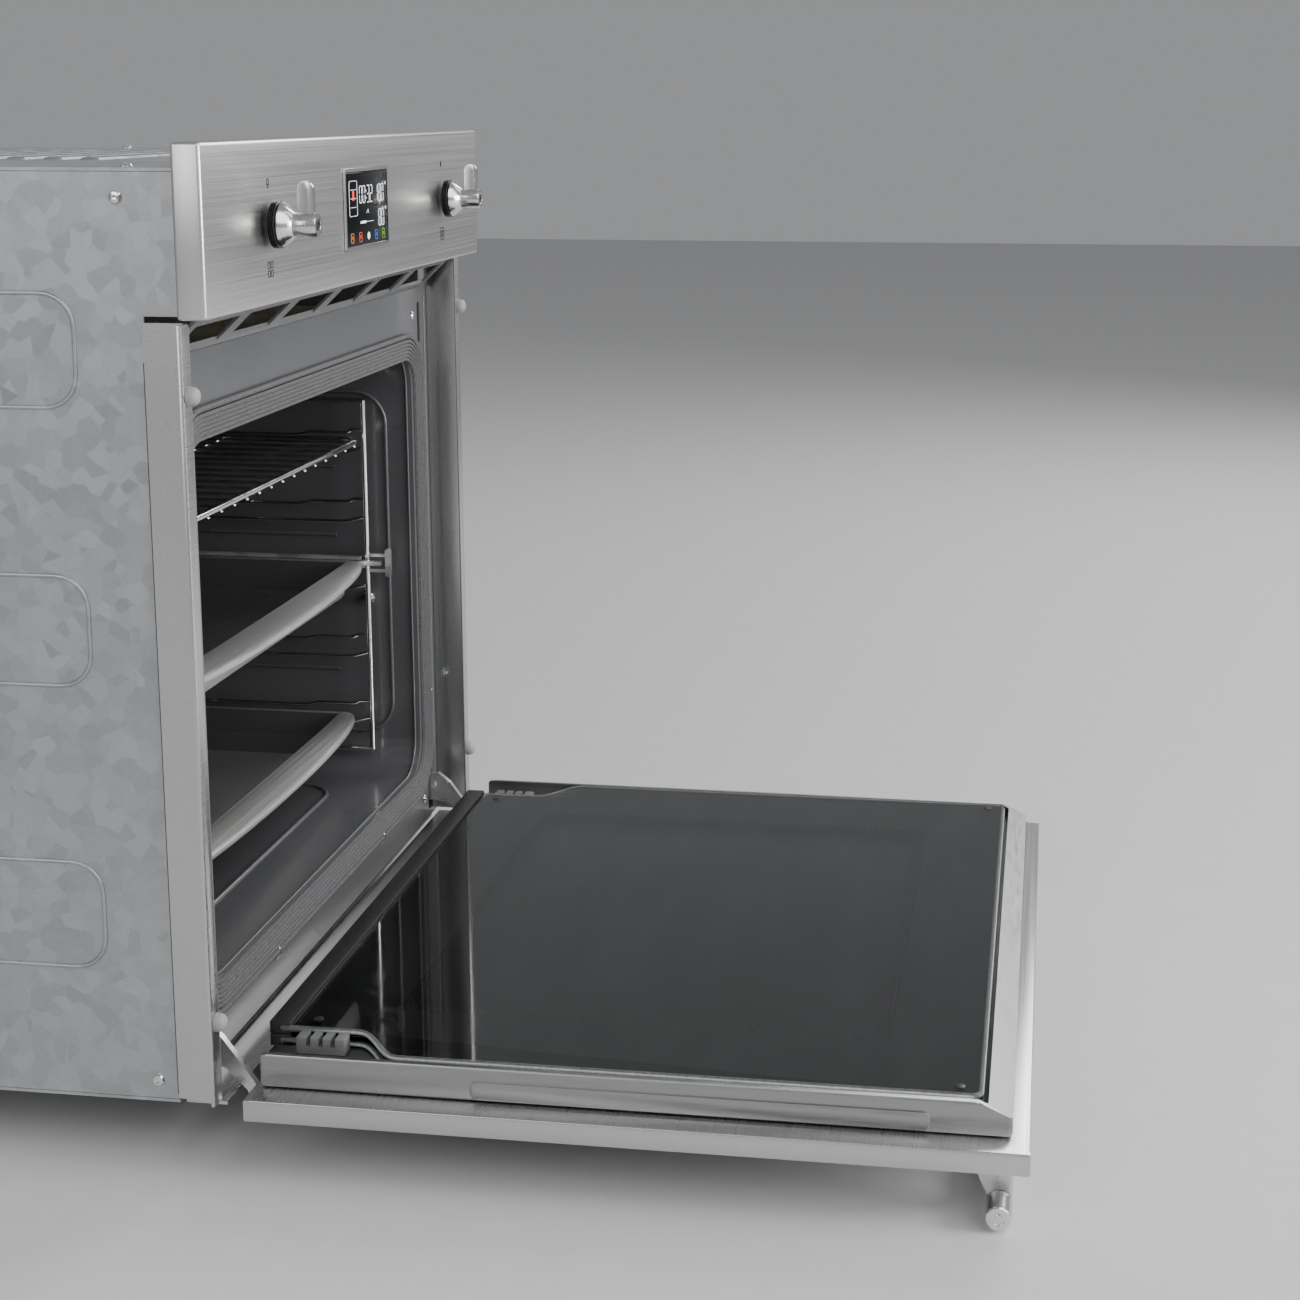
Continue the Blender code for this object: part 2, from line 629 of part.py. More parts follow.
def build_hinges():
    """Arms that come out of the face frame and carry the door at their eyes."""
    for side, sign in (("left", -1), ("right", 1)):
        shape = [(-8.0, 4.0), (-7.4, 1.6), (-5.6, 0.4), (-3.0, 0.4), (-0.8, 2.0), (-0.2, 4.4),
                 (-1.4, 7.0), (-12, 22), (-24, 38), (-34, 46), (-70, 46), (-70, 22), (-36, 22),
                 (-22, 18)]
        outline(side + "_hinge_arm", shape, sign * HINGE_X, 5, "x", ZINC)


def build_lock():
    hook = [(-50, 424), (-50, 447), (-54, 450), (-72, 450), (-76, 446), (-76, 441), (-72, 438),
            (-58, 438), (-56, 424)]
    piece = outline("door_lock_hook", hook, 260.5, 4, "x", ZINC)
    pivot("lock_axis", 260.5, -70, 444, piece)


build_housing()
build_face()
build_vent_grille()
build_control_panel()
knob("left", -1)
knob("right", 1)
build_cavity()
build_fans()
build_racks()
build_door()
build_hinges()
build_lock()
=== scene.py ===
"""The finished look of a built-in wall oven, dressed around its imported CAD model.

Places are oven coordinates in millimetres: x across the front, u out of the
cavity towards the cook, z up. The control panel's face is u = 0. The open door
lies flat, so distance along it is u and height over its outer face is z.
"""

import math

import bmesh
import bpy
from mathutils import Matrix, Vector


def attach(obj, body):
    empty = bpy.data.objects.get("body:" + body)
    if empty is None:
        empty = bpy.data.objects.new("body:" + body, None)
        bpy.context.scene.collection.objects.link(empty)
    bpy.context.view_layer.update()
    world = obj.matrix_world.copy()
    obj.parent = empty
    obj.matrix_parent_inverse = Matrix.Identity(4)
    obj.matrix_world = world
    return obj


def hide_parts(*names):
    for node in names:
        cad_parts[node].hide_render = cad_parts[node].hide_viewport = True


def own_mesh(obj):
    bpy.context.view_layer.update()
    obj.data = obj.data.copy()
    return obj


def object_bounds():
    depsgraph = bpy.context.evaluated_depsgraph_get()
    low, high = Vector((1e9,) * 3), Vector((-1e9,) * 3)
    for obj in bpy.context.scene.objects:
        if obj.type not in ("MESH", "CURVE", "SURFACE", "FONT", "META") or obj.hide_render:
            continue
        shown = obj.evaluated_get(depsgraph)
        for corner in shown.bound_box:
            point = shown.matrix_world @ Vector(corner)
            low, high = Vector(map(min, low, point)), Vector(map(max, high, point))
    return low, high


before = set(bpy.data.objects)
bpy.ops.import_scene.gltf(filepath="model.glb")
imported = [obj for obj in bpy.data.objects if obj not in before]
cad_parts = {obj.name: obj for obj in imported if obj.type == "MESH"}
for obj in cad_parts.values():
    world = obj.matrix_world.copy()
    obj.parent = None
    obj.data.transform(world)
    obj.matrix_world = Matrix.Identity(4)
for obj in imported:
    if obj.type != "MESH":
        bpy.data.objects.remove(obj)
cad_low, cad_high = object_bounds()

MM = 0.001
FRONT_Y = -270.0          # the control panel's face in world Y
SMOOTH_ANGLE = math.radians(34)

# Main sizes, in oven millimetres
KNOB_X = 192.0
KNOB_Z = 540.0
INK_SPAN = (0.02, 0.14)   # how far the printed symbols stand off the panel
DISPLAY_FACE = 1.22
MOUTH_FACE = -41.8        # enamelled face frame
CAVITY_WALL = 236.0
CAVITY_FLOOR = 56.0
RACK_X = 224.0
RACK_FRONT = -80.0
RACK_BACK = -398.0
RACK_LOW = 76.5
RACK_TOP = 373.5
RAIL_LEVELS = (118.0, 175.5, 233.5, 291.0, 349.0)
RAIL_PAIR = 14.5          # drop from a rail to its partner below
SHELF_Z = 342.0
SHELF_HALF = 217.0
SHELF_BACK = -396.0
PANE_HALF = 272.0
PANE_NARROW = 239.0       # half width beside the hinge arms
SHOULDER_U = 57.0         # where a pane starts to widen
SHOULDER_LENGTH = 34.0
LEDGE_Z = 24.4            # inside ledge of the open door
HINGE_X = 262.0
HANDLE_U = 461.0
HANDLE_Z = -32.0
HANDLE_HALF = 289.0
BODY_HALF = 279.0
BODY_BACK = -548.0
BODY_TOP = 577.0


def eased(share):
    """share from 0 to 1, flat at both ends."""
    return share * share * (3 - 2 * share)


def place(x, u, z):
    """World point in metres from oven millimetres."""
    return Vector((x, FRONT_Y - u, z)) * MM


# ------------------------------------------------------------- materials

class Look:
    """A material's node tree, with short ways to add what every finish needs."""

    def __init__(self, name, colour, metallic=0.0, roughness=0.5):
        self.material = bpy.data.materials.new(name)
        self.material.use_nodes = True
        self.tree = self.material.node_tree
        self.shader = self.tree.nodes["Principled BSDF"]
        self.colour = colour
        self.set("Metallic", metallic)
        self.set("Roughness", roughness)
        self.set("Base Color", (*colour, 1.0))
        self.normal = None
        self.where = self.tree.nodes.new("ShaderNodeTexCoord")

    def set(self, socket, value):
        self.shader.inputs[socket].default_value = value

    def link(self, output, target):
        self.tree.links.new(output, target)

    def mapped(self, scale):
        mapping = self.tree.nodes.new("ShaderNodeMapping")
        mapping.inputs["Scale"].default_value = scale
        self.link(self.where.outputs["Object"], mapping.inputs["Vector"])
        return mapping.outputs["Vector"]

    def noise(self, scale, detail=3.0, distortion=0.0):
        """Noise, stretched where the three scales differ."""
        node = self.tree.nodes.new("ShaderNodeTexNoise")
        node.inputs["Scale"].default_value = 1.0
        node.inputs["Detail"].default_value = detail
        node.inputs["Distortion"].default_value = distortion
        self.link(self.mapped(scale), node.inputs["Vector"])
        return node.outputs["Fac"]

    def cells(self, scale, output="Distance"):
        """Cell noise, the same size in all directions."""
        node = self.tree.nodes.new("ShaderNodeTexVoronoi")
        node.inputs["Scale"].default_value = scale
        self.link(self.where.outputs["Object"], node.inputs["Vector"])
        return node.outputs[output]

    def span(self, value, low, high, start=0.0, end=1.0):
        """value, moved from start..end to low..high."""
        node = self.tree.nodes.new("ShaderNodeMapRange")
        for socket, number in (("From Min", start), ("From Max", end),
                               ("To Min", low), ("To Max", high)):
            node.inputs[socket].default_value = number
        self.link(value, node.inputs["Value"])
        return node.outputs["Result"]

    def maths(self, operation, first, second):
        node = self.tree.nodes.new("ShaderNodeMath")
        node.operation = operation
        for socket, value in zip(node.inputs, (first, second)):
            if isinstance(value, float):
                socket.default_value = value
            else:
                self.link(value, socket)
        return node.outputs["Value"]

    def shades(self, value, *colours):
        """A colour ramp over value, one stop for each (place, colour)."""
        node = self.tree.nodes.new("ShaderNodeValToRGB")
        ramp = node.color_ramp
        while len(ramp.elements) < len(colours):
            ramp.elements.new(0.5)
        for stop, (position, colour) in zip(ramp.elements, colours):
            stop.position = position
            stop.color = (*colour, 1.0)
        self.link(value, node.inputs["Fac"])
        self.link(node.outputs["Color"], self.shader.inputs["Base Color"])
        return node.outputs["Color"]

    def vary(self, value, spread, start=0.3, end=0.7):
        """The base colour, a little darker and lighter along value."""
        dark = [c * (1.0 - spread) for c in self.colour]
        light = [min(1.0, c * (1.0 + spread)) for c in self.colour]
        return self.shades(value, (start, dark), (end, light))

    def rough(self, value, low, high, start=0.3, end=0.7):
        moved = self.span(value, low, high, start, end)
        self.link(moved, self.shader.inputs["Roughness"])

    def bump(self, value, depth, strength=0.5):
        """Relief on top of any relief there already; depth is in millimetres."""
        node = self.tree.nodes.new("ShaderNodeBump")
        node.inputs["Strength"].default_value = strength
        node.inputs["Distance"].default_value = depth * MM
        self.link(value, node.inputs["Height"])
        if self.normal is not None:
            self.link(self.normal, node.inputs["Normal"])
        self.normal = node.outputs["Normal"]
        self.link(self.normal, self.shader.inputs["Normal"])


def brushed(name, colour, roughness, along=(3.0, 1400.0, 1400.0), spread=0.07):
    """Metal sanded in one direction: fine scratches over slow clouding."""
    look = Look(name, colour, 1.0, roughness)
    grain = look.noise(along, 4.0)
    clouds = look.noise((5.0, 5.0, 5.0), 2.0)
    both = look.maths("ADD", look.span(grain, 0.0, 0.7), look.span(clouds, 0.0, 0.3))
    look.vary(both, spread)
    look.rough(grain, roughness - 0.05, roughness + 0.08)
    look.bump(grain, 0.03, 0.25)
    return look.material


def plated(name, colour, roughness, spread=0.05):
    """Bright metal with faint finger marks and soft waviness."""
    look = Look(name, colour, 1.0, roughness)
    marks = look.noise((45.0, 45.0, 45.0), 5.0, 0.6)
    look.vary(marks, spread)
    look.rough(marks, roughness, roughness + 0.14, 0.35, 0.75)
    look.bump(look.noise((260.0, 260.0, 260.0), 2.0), 0.02, 0.2)
    return look.material


def turned_metal(name, colour, roughness):
    """Lathe-turned metal, with fine rings and wider colour bands round it."""
    look = Look(name, colour, 1.0, roughness)
    rings = look.noise((25.0, 2600.0, 25.0), 3.0)
    look.vary(rings, 0.12)
    look.rough(rings, roughness - 0.04, roughness + 0.1)
    look.bump(rings, 0.02, 0.3)
    return look.material


def enamelled(name, colour, roughness, fleck):
    """Glossy fired enamel: orange-peel relief and tiny pale flecks."""
    look = Look(name, colour, 0.0, roughness)
    distance = look.cells(900.0)
    clouds = look.noise((7.0, 7.0, 7.0), 3.0)
    body = look.span(clouds, 0.0, 0.45)
    specks = look.span(distance, 0.5, 0.0, 0.05, 0.16)
    dark = [c * 0.86 for c in colour]
    look.shades(look.maths("ADD", body, specks), (0.0, dark), (0.5, colour), (0.95, fleck))
    look.rough(clouds, roughness - 0.06, roughness + 0.08)
    look.bump(look.noise((420.0, 420.0, 420.0), 2.0), 0.05, 0.22)
    look.set("Coat Weight", 0.35)
    look.set("Coat Roughness", 0.12)
    return look.material


def zinc_coated(name, colour, roughness):
    """Galvanised sheet, with crystal patches that catch the light differently."""
    look = Look(name, colour, 0.85, roughness)
    patch = look.cells(95.0, "Color")
    fine = look.noise((300.0, 300.0, 300.0), 3.0)
    look.vary(look.maths("ADD", look.span(patch, 0.1, 0.6), look.span(fine, 0.0, 0.3)), 0.16,
              0.2, 0.8)
    look.rough(patch, roughness - 0.1, roughness + 0.1, 0.0, 1.0)
    look.bump(fine, 0.03, 0.2)
    return look.material


def moulded(name, colour, roughness, grain=700.0):
    """Moulded plastic or rubber with a fine spark-eroded grain."""
    look = Look(name, colour, 0.0, roughness)
    pits = look.noise((grain, grain, grain), 3.0)
    clouds = look.noise((18.0, 18.0, 18.0), 2.0)
    look.vary(clouds, 0.14)
    look.rough(pits, roughness - 0.08, roughness + 0.08)
    look.bump(pits, 0.06, 0.35)
    return look.material


def braided(name, colour):
    """Glass-fibre seal cord: a tight weave of light and dark strands."""
    look = Look(name, colour, 0.0, 0.7)
    strands = look.cells(620.0)
    fluff = look.noise((900.0, 900.0, 900.0), 3.0)
    look.vary(look.maths("ADD", look.span(strands, 0.8, 0.0), look.span(fluff, 0.0, 0.3)), 0.35,
              0.2, 0.9)
    look.rough(fluff, 0.55, 0.85)
    look.bump(strands, 0.25, 0.5)
    return look.material


def smoked_glass(name, tint, roughness=0.03):
    """Tinted oven glass with faint wiping marks."""
    look = Look(name, tint, 0.0, roughness)
    wipes = look.noise((9.0, 30.0, 30.0), 4.0, 0.8)
    look.vary(wipes, 0.06)
    look.rough(wipes, roughness, roughness + 0.05, 0.45, 0.8)
    look.set("Transmission Weight", 1.0)
    look.set("IOR", 1.48)
    return look.material


def printed(name, colour, roughness=0.45, gloss=0.3):
    """Screen-printed ink with a slightly uneven lay-down."""
    look = Look(name, colour, 0.0, roughness)
    ink = look.noise((350.0, 350.0, 350.0), 3.0)
    look.vary(ink, 0.12)
    look.rough(ink, roughness - 0.08, roughness + 0.08)
    look.set("Specular IOR Level", gloss)
    return look.material


def lit(name, colour, strength):
    """A display segment that gives off light, uneven across its width."""
    look = Look(name, colour, 0.0, 0.4)
    glow = look.noise((800.0, 800.0, 800.0), 1.0)
    shade = look.vary(glow, 0.08)
    look.link(shade, look.shader.inputs["Emission Color"])
    look.set("Emission Strength", strength)
    return look.material


def woolly(name, colour):
    """Matted mineral fibres."""
    look = Look(name, colour, 0.0, 0.95)
    fibres = look.noise((120.0, 700.0, 700.0), 5.0, 1.2)
    look.vary(fibres, 0.3)
    look.bump(fibres, 1.2, 0.8)
    return look.material


PANEL_STEEL = brushed("panel_steel", (0.66, 0.655, 0.645), 0.32)
SATIN_STEEL = brushed("satin_steel", (0.58, 0.58, 0.575), 0.30)
TRAY_STEEL = brushed("tray_steel", (0.66, 0.655, 0.645), 0.42)
DOOR_ALUMINIUM = brushed("door_aluminium", (0.36, 0.36, 0.362), 0.36, (40.0, 40.0, 700.0), 0.08)
KNOB_METAL = turned_metal("knob_metal", (0.74, 0.735, 0.72), 0.17)
CHROME = plated("bright_chrome", (0.80, 0.80, 0.80), 0.07)
BEZEL = plated("bezel_chrome", (0.82, 0.82, 0.81), 0.14)
CAVITY_ENAMEL = enamelled("cavity_enamel", (0.085, 0.086, 0.09), 0.26, (0.22, 0.22, 0.23))
TRAY_ENAMEL = enamelled("tray_enamel", (0.06, 0.06, 0.062), 0.3, (0.2, 0.2, 0.2))
FACE_ENAMEL = enamelled("face_enamel", (0.10, 0.102, 0.106), 0.30, (0.24, 0.24, 0.25))
GRILLE_ENAMEL = enamelled("grille_enamel", (0.14, 0.142, 0.146), 0.30, (0.26, 0.26, 0.27))
ZINC = zinc_coated("zinc_sheet", (0.46, 0.47, 0.48), 0.42)
HINGE_ZINC = zinc_coated("hinge_zinc", (0.62, 0.62, 0.62), 0.28)
BLACK = moulded("black_plastic", (0.013, 0.013, 0.014), 0.42)
RING_RUBBER = moulded("ring_rubber", (0.012, 0.012, 0.012), 0.32, 900.0)
GREY_PLASTIC = moulded("grey_plastic", (0.15, 0.151, 0.153), 0.42)
GROUND_GLASS = printed("ground_glass_edge", (0.50, 0.52, 0.52), 0.3)
BUFFER = moulded("buffer_rubber", (0.30, 0.30, 0.30), 0.5)
GASKET = braided("gasket_braid", (0.085, 0.085, 0.088))
TINTED = smoked_glass("smoked_glass", (0.42, 0.43, 0.43))
OUTER_TINT = smoked_glass("outer_smoked_glass", (0.12, 0.12, 0.125))
LAMP_GLASS = smoked_glass("lamp_glass", (0.86, 0.87, 0.84), 0.12)
FRIT = printed("ceramic_frit", (0.045, 0.046, 0.048), 0.38)
DISPLAY_BLACK = printed("display_black", (0.004, 0.004, 0.005), 0.12, 0.12)
INK = printed("icon_ink", (0.004, 0.004, 0.004), 0.7)
HEATER = brushed("heater_sheath", (0.20, 0.19, 0.18), 0.45, (90.0, 90.0, 90.0), 0.25)
WOOL = woolly("mineral_wool", (0.62, 0.56, 0.42))
BOARD = printed("circuit_board", (0.03, 0.11, 0.05))
WHITE_LIT = lit("segment_white", (0.80, 0.84, 0.88), 0.9)
RED_LIT = lit("segment_red", (0.7, 0.05, 0.03), 0.6)
AMBER_LIT = lit("segment_amber", (0.6, 0.2, 0.03), 0.5)
BLUE_LIT = lit("segment_blue", (0.05, 0.14, 0.45), 0.5)
GREEN_LIT = lit("segment_green", (0.16, 0.32, 0.05), 0.5)

NODE_FINISH = {
    PANEL_STEEL: ("control_panel",),
    SATIN_STEEL: ("door_skin", "handle_bar", "left_handle_post", "right_handle_post",
                  "left_guide_slide", "right_guide_slide", "left_knob_spindle",
                  "right_knob_spindle", "left_side_trim", "right_side_trim", "bottom_trim"),
    KNOB_METAL: ("left_knob", "right_knob"),
    BEZEL: ("display_bezel",),
    DISPLAY_BLACK: ("display_glass",),
    CAVITY_ENAMEL: ("cavity_liner", "fan_cover"),
    FACE_ENAMEL: ("face_frame",),
    GRILLE_ENAMEL: ("vent_grille",),
    ZINC: ("base_plate", "left_side_panel", "right_side_panel", "back_panel", "top_cover",
           "convection_motor", "convection_fan", "blower_housing", "blower_motor",
           "blower_rotor", "left_guide_rail", "right_guide_rail"),
    HINGE_ZINC: ("left_hinge_arm", "right_hinge_arm", "door_lock_hook"),
    DOOR_ALUMINIUM: ("inner_door_frame",),
    BLACK: ("terminal_box", "middle_glass_strip", "inner_glass_strip"),
    GREY_PLASTIC: ("left_hinge_side_clip", "right_hinge_side_clip", "left_free_side_clip",
                   "right_free_side_clip"),
    TINTED: ("middle_glass", "inner_glass"),
    OUTER_TINT: ("outer_glass",),
    LAMP_GLASS: ("lamp_cover",),
    HEATER: ("ring_element", "grill_element", "bottom_element"),
    WOOL: ("insulation_wrap",),
    BOARD: ("control_board",),
}


def dress_cad_nodes():
    """Gives each shown CAD node its finish and smooth shading on its round faces."""
    for material, names in NODE_FINISH.items():
        for name in names:
            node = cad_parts[name]
            node.data.materials.clear()
            node.data.materials.append(material)
            with bpy.context.temp_override(object=node, active_object=node,
                                           selected_objects=[node]):
                bpy.ops.mesh.customdata_custom_splitnormals_clear()
            node.data.polygons.foreach_set("use_smooth", [True] * len(node.data.polygons))
            weld = node.modifiers.new("weld", "WELD")
            weld.merge_threshold = 0.00001
            split = node.modifiers.new("split", "EDGE_SPLIT")
            split.split_angle = SMOOTH_ANGLE


# ------------------------------------------------------------- shapes

def rounded(half_w, half_h, radius, steps=6):
    """Points round a rectangle with round corners, centred on the origin."""
    points = []
    for corner in range(4):
        turn = math.pi / 2 * corner
        sx = 1 if corner in (0, 3) else -1
        sy = 1 if corner in (0, 1) else -1
        for k in range(steps + 1):
            a = turn + math.pi / 2 * k / steps
            points.append((sx * (half_w - radius) + radius * math.cos(a),
                           sy * (half_h - radius) + radius * math.sin(a)))
    return points


def disc(radius, steps=16):
    """Points round a circle, centred on the origin."""
    turns = [2 * math.pi * k / steps for k in range(steps)]
    return [(radius * math.cos(a), radius * math.sin(a)) for a in turns]


class Form:
    """One mesh put together from shaped parts, in oven millimetres."""

    def __init__(self):
        self.mesh = bmesh.new()

    def loft(self, loops, cap_start=True, cap_end=True, closed=False):
        """Skin over loops of (x, u, z) points with the same count."""
        rows = [[self.mesh.verts.new(place(*p)) for p in loop] for loop in loops]
        pairs = list(zip(rows[:-1], rows[1:]))
        if closed:
            pairs.append((rows[-1], rows[0]))
        for first, second in pairs:
            for k in range(len(first)):
                n = (k + 1) % len(first)
                self.mesh.faces.new((first[k], first[n], second[n], second[k]))
        if cap_start and not closed:
            self.mesh.faces.new(rows[0][::-1])
        if cap_end and not closed:
            self.mesh.faces.new(rows[-1])

    def plate(self, points, axis, centre, start, end, edge=0.0):
        """An outline pushed along an axis, its two rims eased by edge.

        The outline is (u, z) along x, (x, z) along u and (x, u) along z."""
        def loop(at, inset):
            result = []
            for a, b in points:
                size = math.hypot(a, b) or 1.0
                share = max(0.0, 1.0 - inset / size)
                a, b = centre[0] + a * share, centre[1] + b * share
                result.append({"x": (at, a, b), "u": (a, at, b), "z": (a, b, at)}[axis])
            return result

        way = 1 if end > start else -1
        levels = [(start, 0.0), (end, 0.0)]
        if edge:
            levels = [(start, edge), (start + way * edge, 0.0), (end - way * edge, 0.0),
                      (end - way * edge * 0.3, edge * 0.3), (end, edge)]
        self.loft([loop(at, inset) for at, inset in levels])

    def turned(self, centre, axis, profile, steps=28):
        """A lathe shape round an axis; the profile is (radius, place along it)."""
        loops = []
        for radius, at in profile:
            ring = disc(max(radius, 0.01), steps)
            if axis == "x":
                loops.append([(centre[0] + at, centre[1] + a, centre[2] + b) for a, b in ring])
            elif axis == "u":
                loops.append([(centre[0] + a, centre[1] + at, centre[2] + b) for a, b in ring])
            else:
                loops.append([(centre[0] + a, centre[1] + b, centre[2] + at) for a, b in ring])
        self.loft(loops)

    def piece(self, name, material, body, replaces=()):
        """Ends the form: one object with clean normals, riding on its body."""
        bm = self.mesh
        bmesh.ops.remove_doubles(bm, verts=bm.verts, dist=0.000002)
        bmesh.ops.recalc_face_normals(bm, faces=bm.faces)
        for face in bm.faces:
            face.smooth = True
        for edge in bm.edges:
            edge.smooth = len(edge.link_faces) == 2 and edge.calc_face_angle(0) < SMOOTH_ANGLE
        data = bpy.data.meshes.new(name)
        bm.to_mesh(data)
        bm.free()
        return finished(name, data, material, body, replaces)


def finished(name, data, material, body, replaces):
    """An object for the data, riding on its body."""
    obj = bpy.data.objects.new(name, data)
    bpy.context.scene.collection.objects.link(obj)
    data.materials.append(material)
    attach(obj, body)
    if replaces:
        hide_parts(*replaces)
    return obj


def wires(name, runs, radius, material, body, replaces=(), rings=3):
    """Round wires along runs of (x, u, z) points; a run may be (points, closed)."""
    curve = bpy.data.curves.new(name, "CURVE")
    curve.dimensions = "3D"
    curve.bevel_depth = radius * MM
    curve.bevel_resolution = rings
    curve.use_fill_caps = True
    for run in runs:
        points, closed = run if isinstance(run, tuple) else (run, False)
        spline = curve.splines.new("POLY")
        spline.points.add(len(points) - 1)
        for knot, point in zip(spline.points, points):
            knot.co = (*place(*point), 1.0)
        spline.use_cyclic_u = closed
        spline.use_smooth = True
    return finished(name, curve, material, body, replaces)


def bent(points, radius, steps=4):
    """The same run with its inner corners rounded to about radius."""
    vectors = [Vector(p) for p in points]
    result = [points[0]]
    for before, corner, after in zip(vectors[:-2], vectors[1:-1], vectors[2:]):
        room = min(radius, (corner - before).length * 0.45, (after - corner).length * 0.45)
        start = corner + (before - corner).normalized() * room
        end = corner + (after - corner).normalized() * room
        for k in range(steps + 1):
            t = k / steps
            point = start.lerp(corner, t).lerp(corner.lerp(end, t), t)
            result.append(tuple(point))
    result.append(points[-1])
    return result


def screw(form, x, u, z, axis, radius, height, way=1):
    """A pan-head screw: domed head with a round recess in its top."""
    tall = way * height
    head = [(radius, 0.0), (radius, tall * 0.4), (radius * 0.8, tall * 0.85),
            (radius * 0.42, tall), (radius * 0.36, tall * 0.4), (0.0, tall * 0.3)]
    form.turned((x, u, z), axis, head, 20)


# ------------------------------------------------------------- control panel

SEGMENTS = {
    "0": "abcdef", "1": "bc", "2": "abged", "3": "abgcd", "8": "abcdefg",
}


def digit(form, character, x, z, width, height, front):
    """One seven-segment digit of thin bars with pointed ends."""
    thick = width * 0.13
    middle = z + height / 2
    spots = {
        "a": (x + width / 2, z + height, True), "g": (x + width / 2, middle, True),
        "d": (x + width / 2, z, True), "f": (x, middle + height / 4, False),
        "b": (x + width, middle + height / 4, False), "e": (x, z + height / 4, False),
        "c": (x + width, z + height / 4, False),
    }
    for segment in SEGMENTS[character]:
        cx, cz, flat = spots[segment]
        length = (width if flat else height / 2) / 2 - thick * 0.55
        half = thick / 2
        outline = [(-length, 0.0), (-length + half, -half), (length - half, -half),
                   (length, 0.0), (length - half, half), (-length + half, half)]
        if not flat:
            outline = [(b, a) for a, b in outline]
        form.plate(outline, "u", (cx, cz), front, front + 0.12)


def build_display():
    """What the display shows: a clock, two temperatures and small generic icons."""
    front = DISPLAY_FACE
    words = Form()
    height = 11.5
    numbers = (("00", -17.0, 7.0, 545.5, 5.2), ("32", -0.5, 7.0, 545.5, 5.2),
               ("180", 18.5, 6.8, 545.5, 5.0), ("80", 25.3, 6.8, 528.0, 5.0))
    for text, x, pitch, z, width in numbers:
        for k, character in enumerate(text):
            digit(words, character, x + pitch * k, z, width, height, front)
    for dot_z in (548.5, 553.5):
        words.plate(disc(0.7, 10), "u", (-2.6, dot_z), front, front + 0.12)
    words.piece("display_digits", WHITE_LIT, "root")

    lift = front + 0.1
    lines = []
    for x, z in ((41.8, 557.5), (41.8, 540.0)):
        lines.append(([(x + a, lift, z + b) for a, b in disc(1.0, 12)], True))
    oven = [(-31.0 + a, lift, 549.0 + b) for a, b in rounded(8.5, 12.0, 1.5, 3)]
    lines.append((oven, True))
    for k in range(3):
        z = 543.0 + 6.0 * k
        lines.append([(-37.0, lift, z), (-25.0, lift, z)])
    lines.append([(-16.0, lift, 532.0), (13.0, lift, 532.0)])
    lines.append([(-2.0, lift, 538.0), (1.0, lift, 540.5), (2.5, lift, 538.0)])
    wires("display_outlines", lines, 0.16, WHITE_LIT, "root", rings=1)

    bar = Form()
    bar.plate(rounded(6.0, 0.8, 0.4, 2), "u", (-10.0, 532.0), front, front + 0.2)
    bar.plate(disc(2.6, 20), "u", (1.5, 522.0), front, front + 0.1)
    bar.piece("display_progress", WHITE_LIT, "root")
    flame = Form()
    flame.plate(rounded(2.0, 3.4, 0.9, 3), "u", (-31.0, 551.0), front, front + 0.2)
    flame.piece("display_mark", RED_LIT, "root")
    colours = ((-35.0, AMBER_LIT, "amber"), (-17.0, RED_LIT, "red"), (18.5, BLUE_LIT, "blue"),
               (35.0, GREEN_LIT, "green"))
    for x, material, label in colours:
        outline = [(x + a, lift, 522.0 + b) for a, b in rounded(2.8, 3.2, 1.1, 3)]
        inside = [(x - 1.4, lift, 521.0), (x, lift, 523.4), (x + 1.4, lift, 521.0)]
        wires("display_icon_" + label, [(outline, True), inside], 0.22, material, "root",
              rings=1)


def build_panel_icons():
    """The small symbols above and below each knob, in dark ink."""
    ink = Form()
    low, high = INK_SPAN
    left = -KNOB_X
    upper_z = 566.0
    lower_z = 512.5
    ring = [[(left + a, at, upper_z + b) for a, b in disc(radius, 20)]
            for radius, at in ((2.3, low), (2.3, high), (1.5, high), (1.5, low))]
    ink.loft(ring, closed=True)
    ink.plate(rounded(1.0, 0.5, 0.2, 2), "u", (left, upper_z - 3.2), low, high)

    def frame_of(cx, cz, half_w, half_h, line, radius):
        outer = rounded(half_w, half_h, radius, 3)
        inner = rounded(half_w - line, half_h - line, max(radius - line, 0.15), 3)
        loops = []
        for outline, at in ((outer, low), (outer, high), (inner, high), (inner, low)):
            loops.append([(cx + a, at, cz + b) for a, b in outline])
        ink.loft(loops, closed=True)

    for dx in (-2.6, 2.6):
        for dz in (-2.7, 2.7):
            frame_of(left + dx, lower_z + dz, 2.1, 2.2, 0.6, 0.8)
    frame_of(KNOB_X, lower_z, 4.8, 4.9, 0.75, 1.2)
    frame_of(KNOB_X, lower_z, 2.2, 2.6, 0.6, 0.6)
    drop = [(0.0, 2.6), (-1.1, 1.0), (-1.7, -0.6), (-1.2, -1.9), (0.0, -2.4), (1.3, -1.9),
            (1.7, -0.6), (0.7, 0.5)]
    ink.plate(drop, "u", (KNOB_X, 567.0), low, high)
    ink.piece("panel_icons", INK, "root")


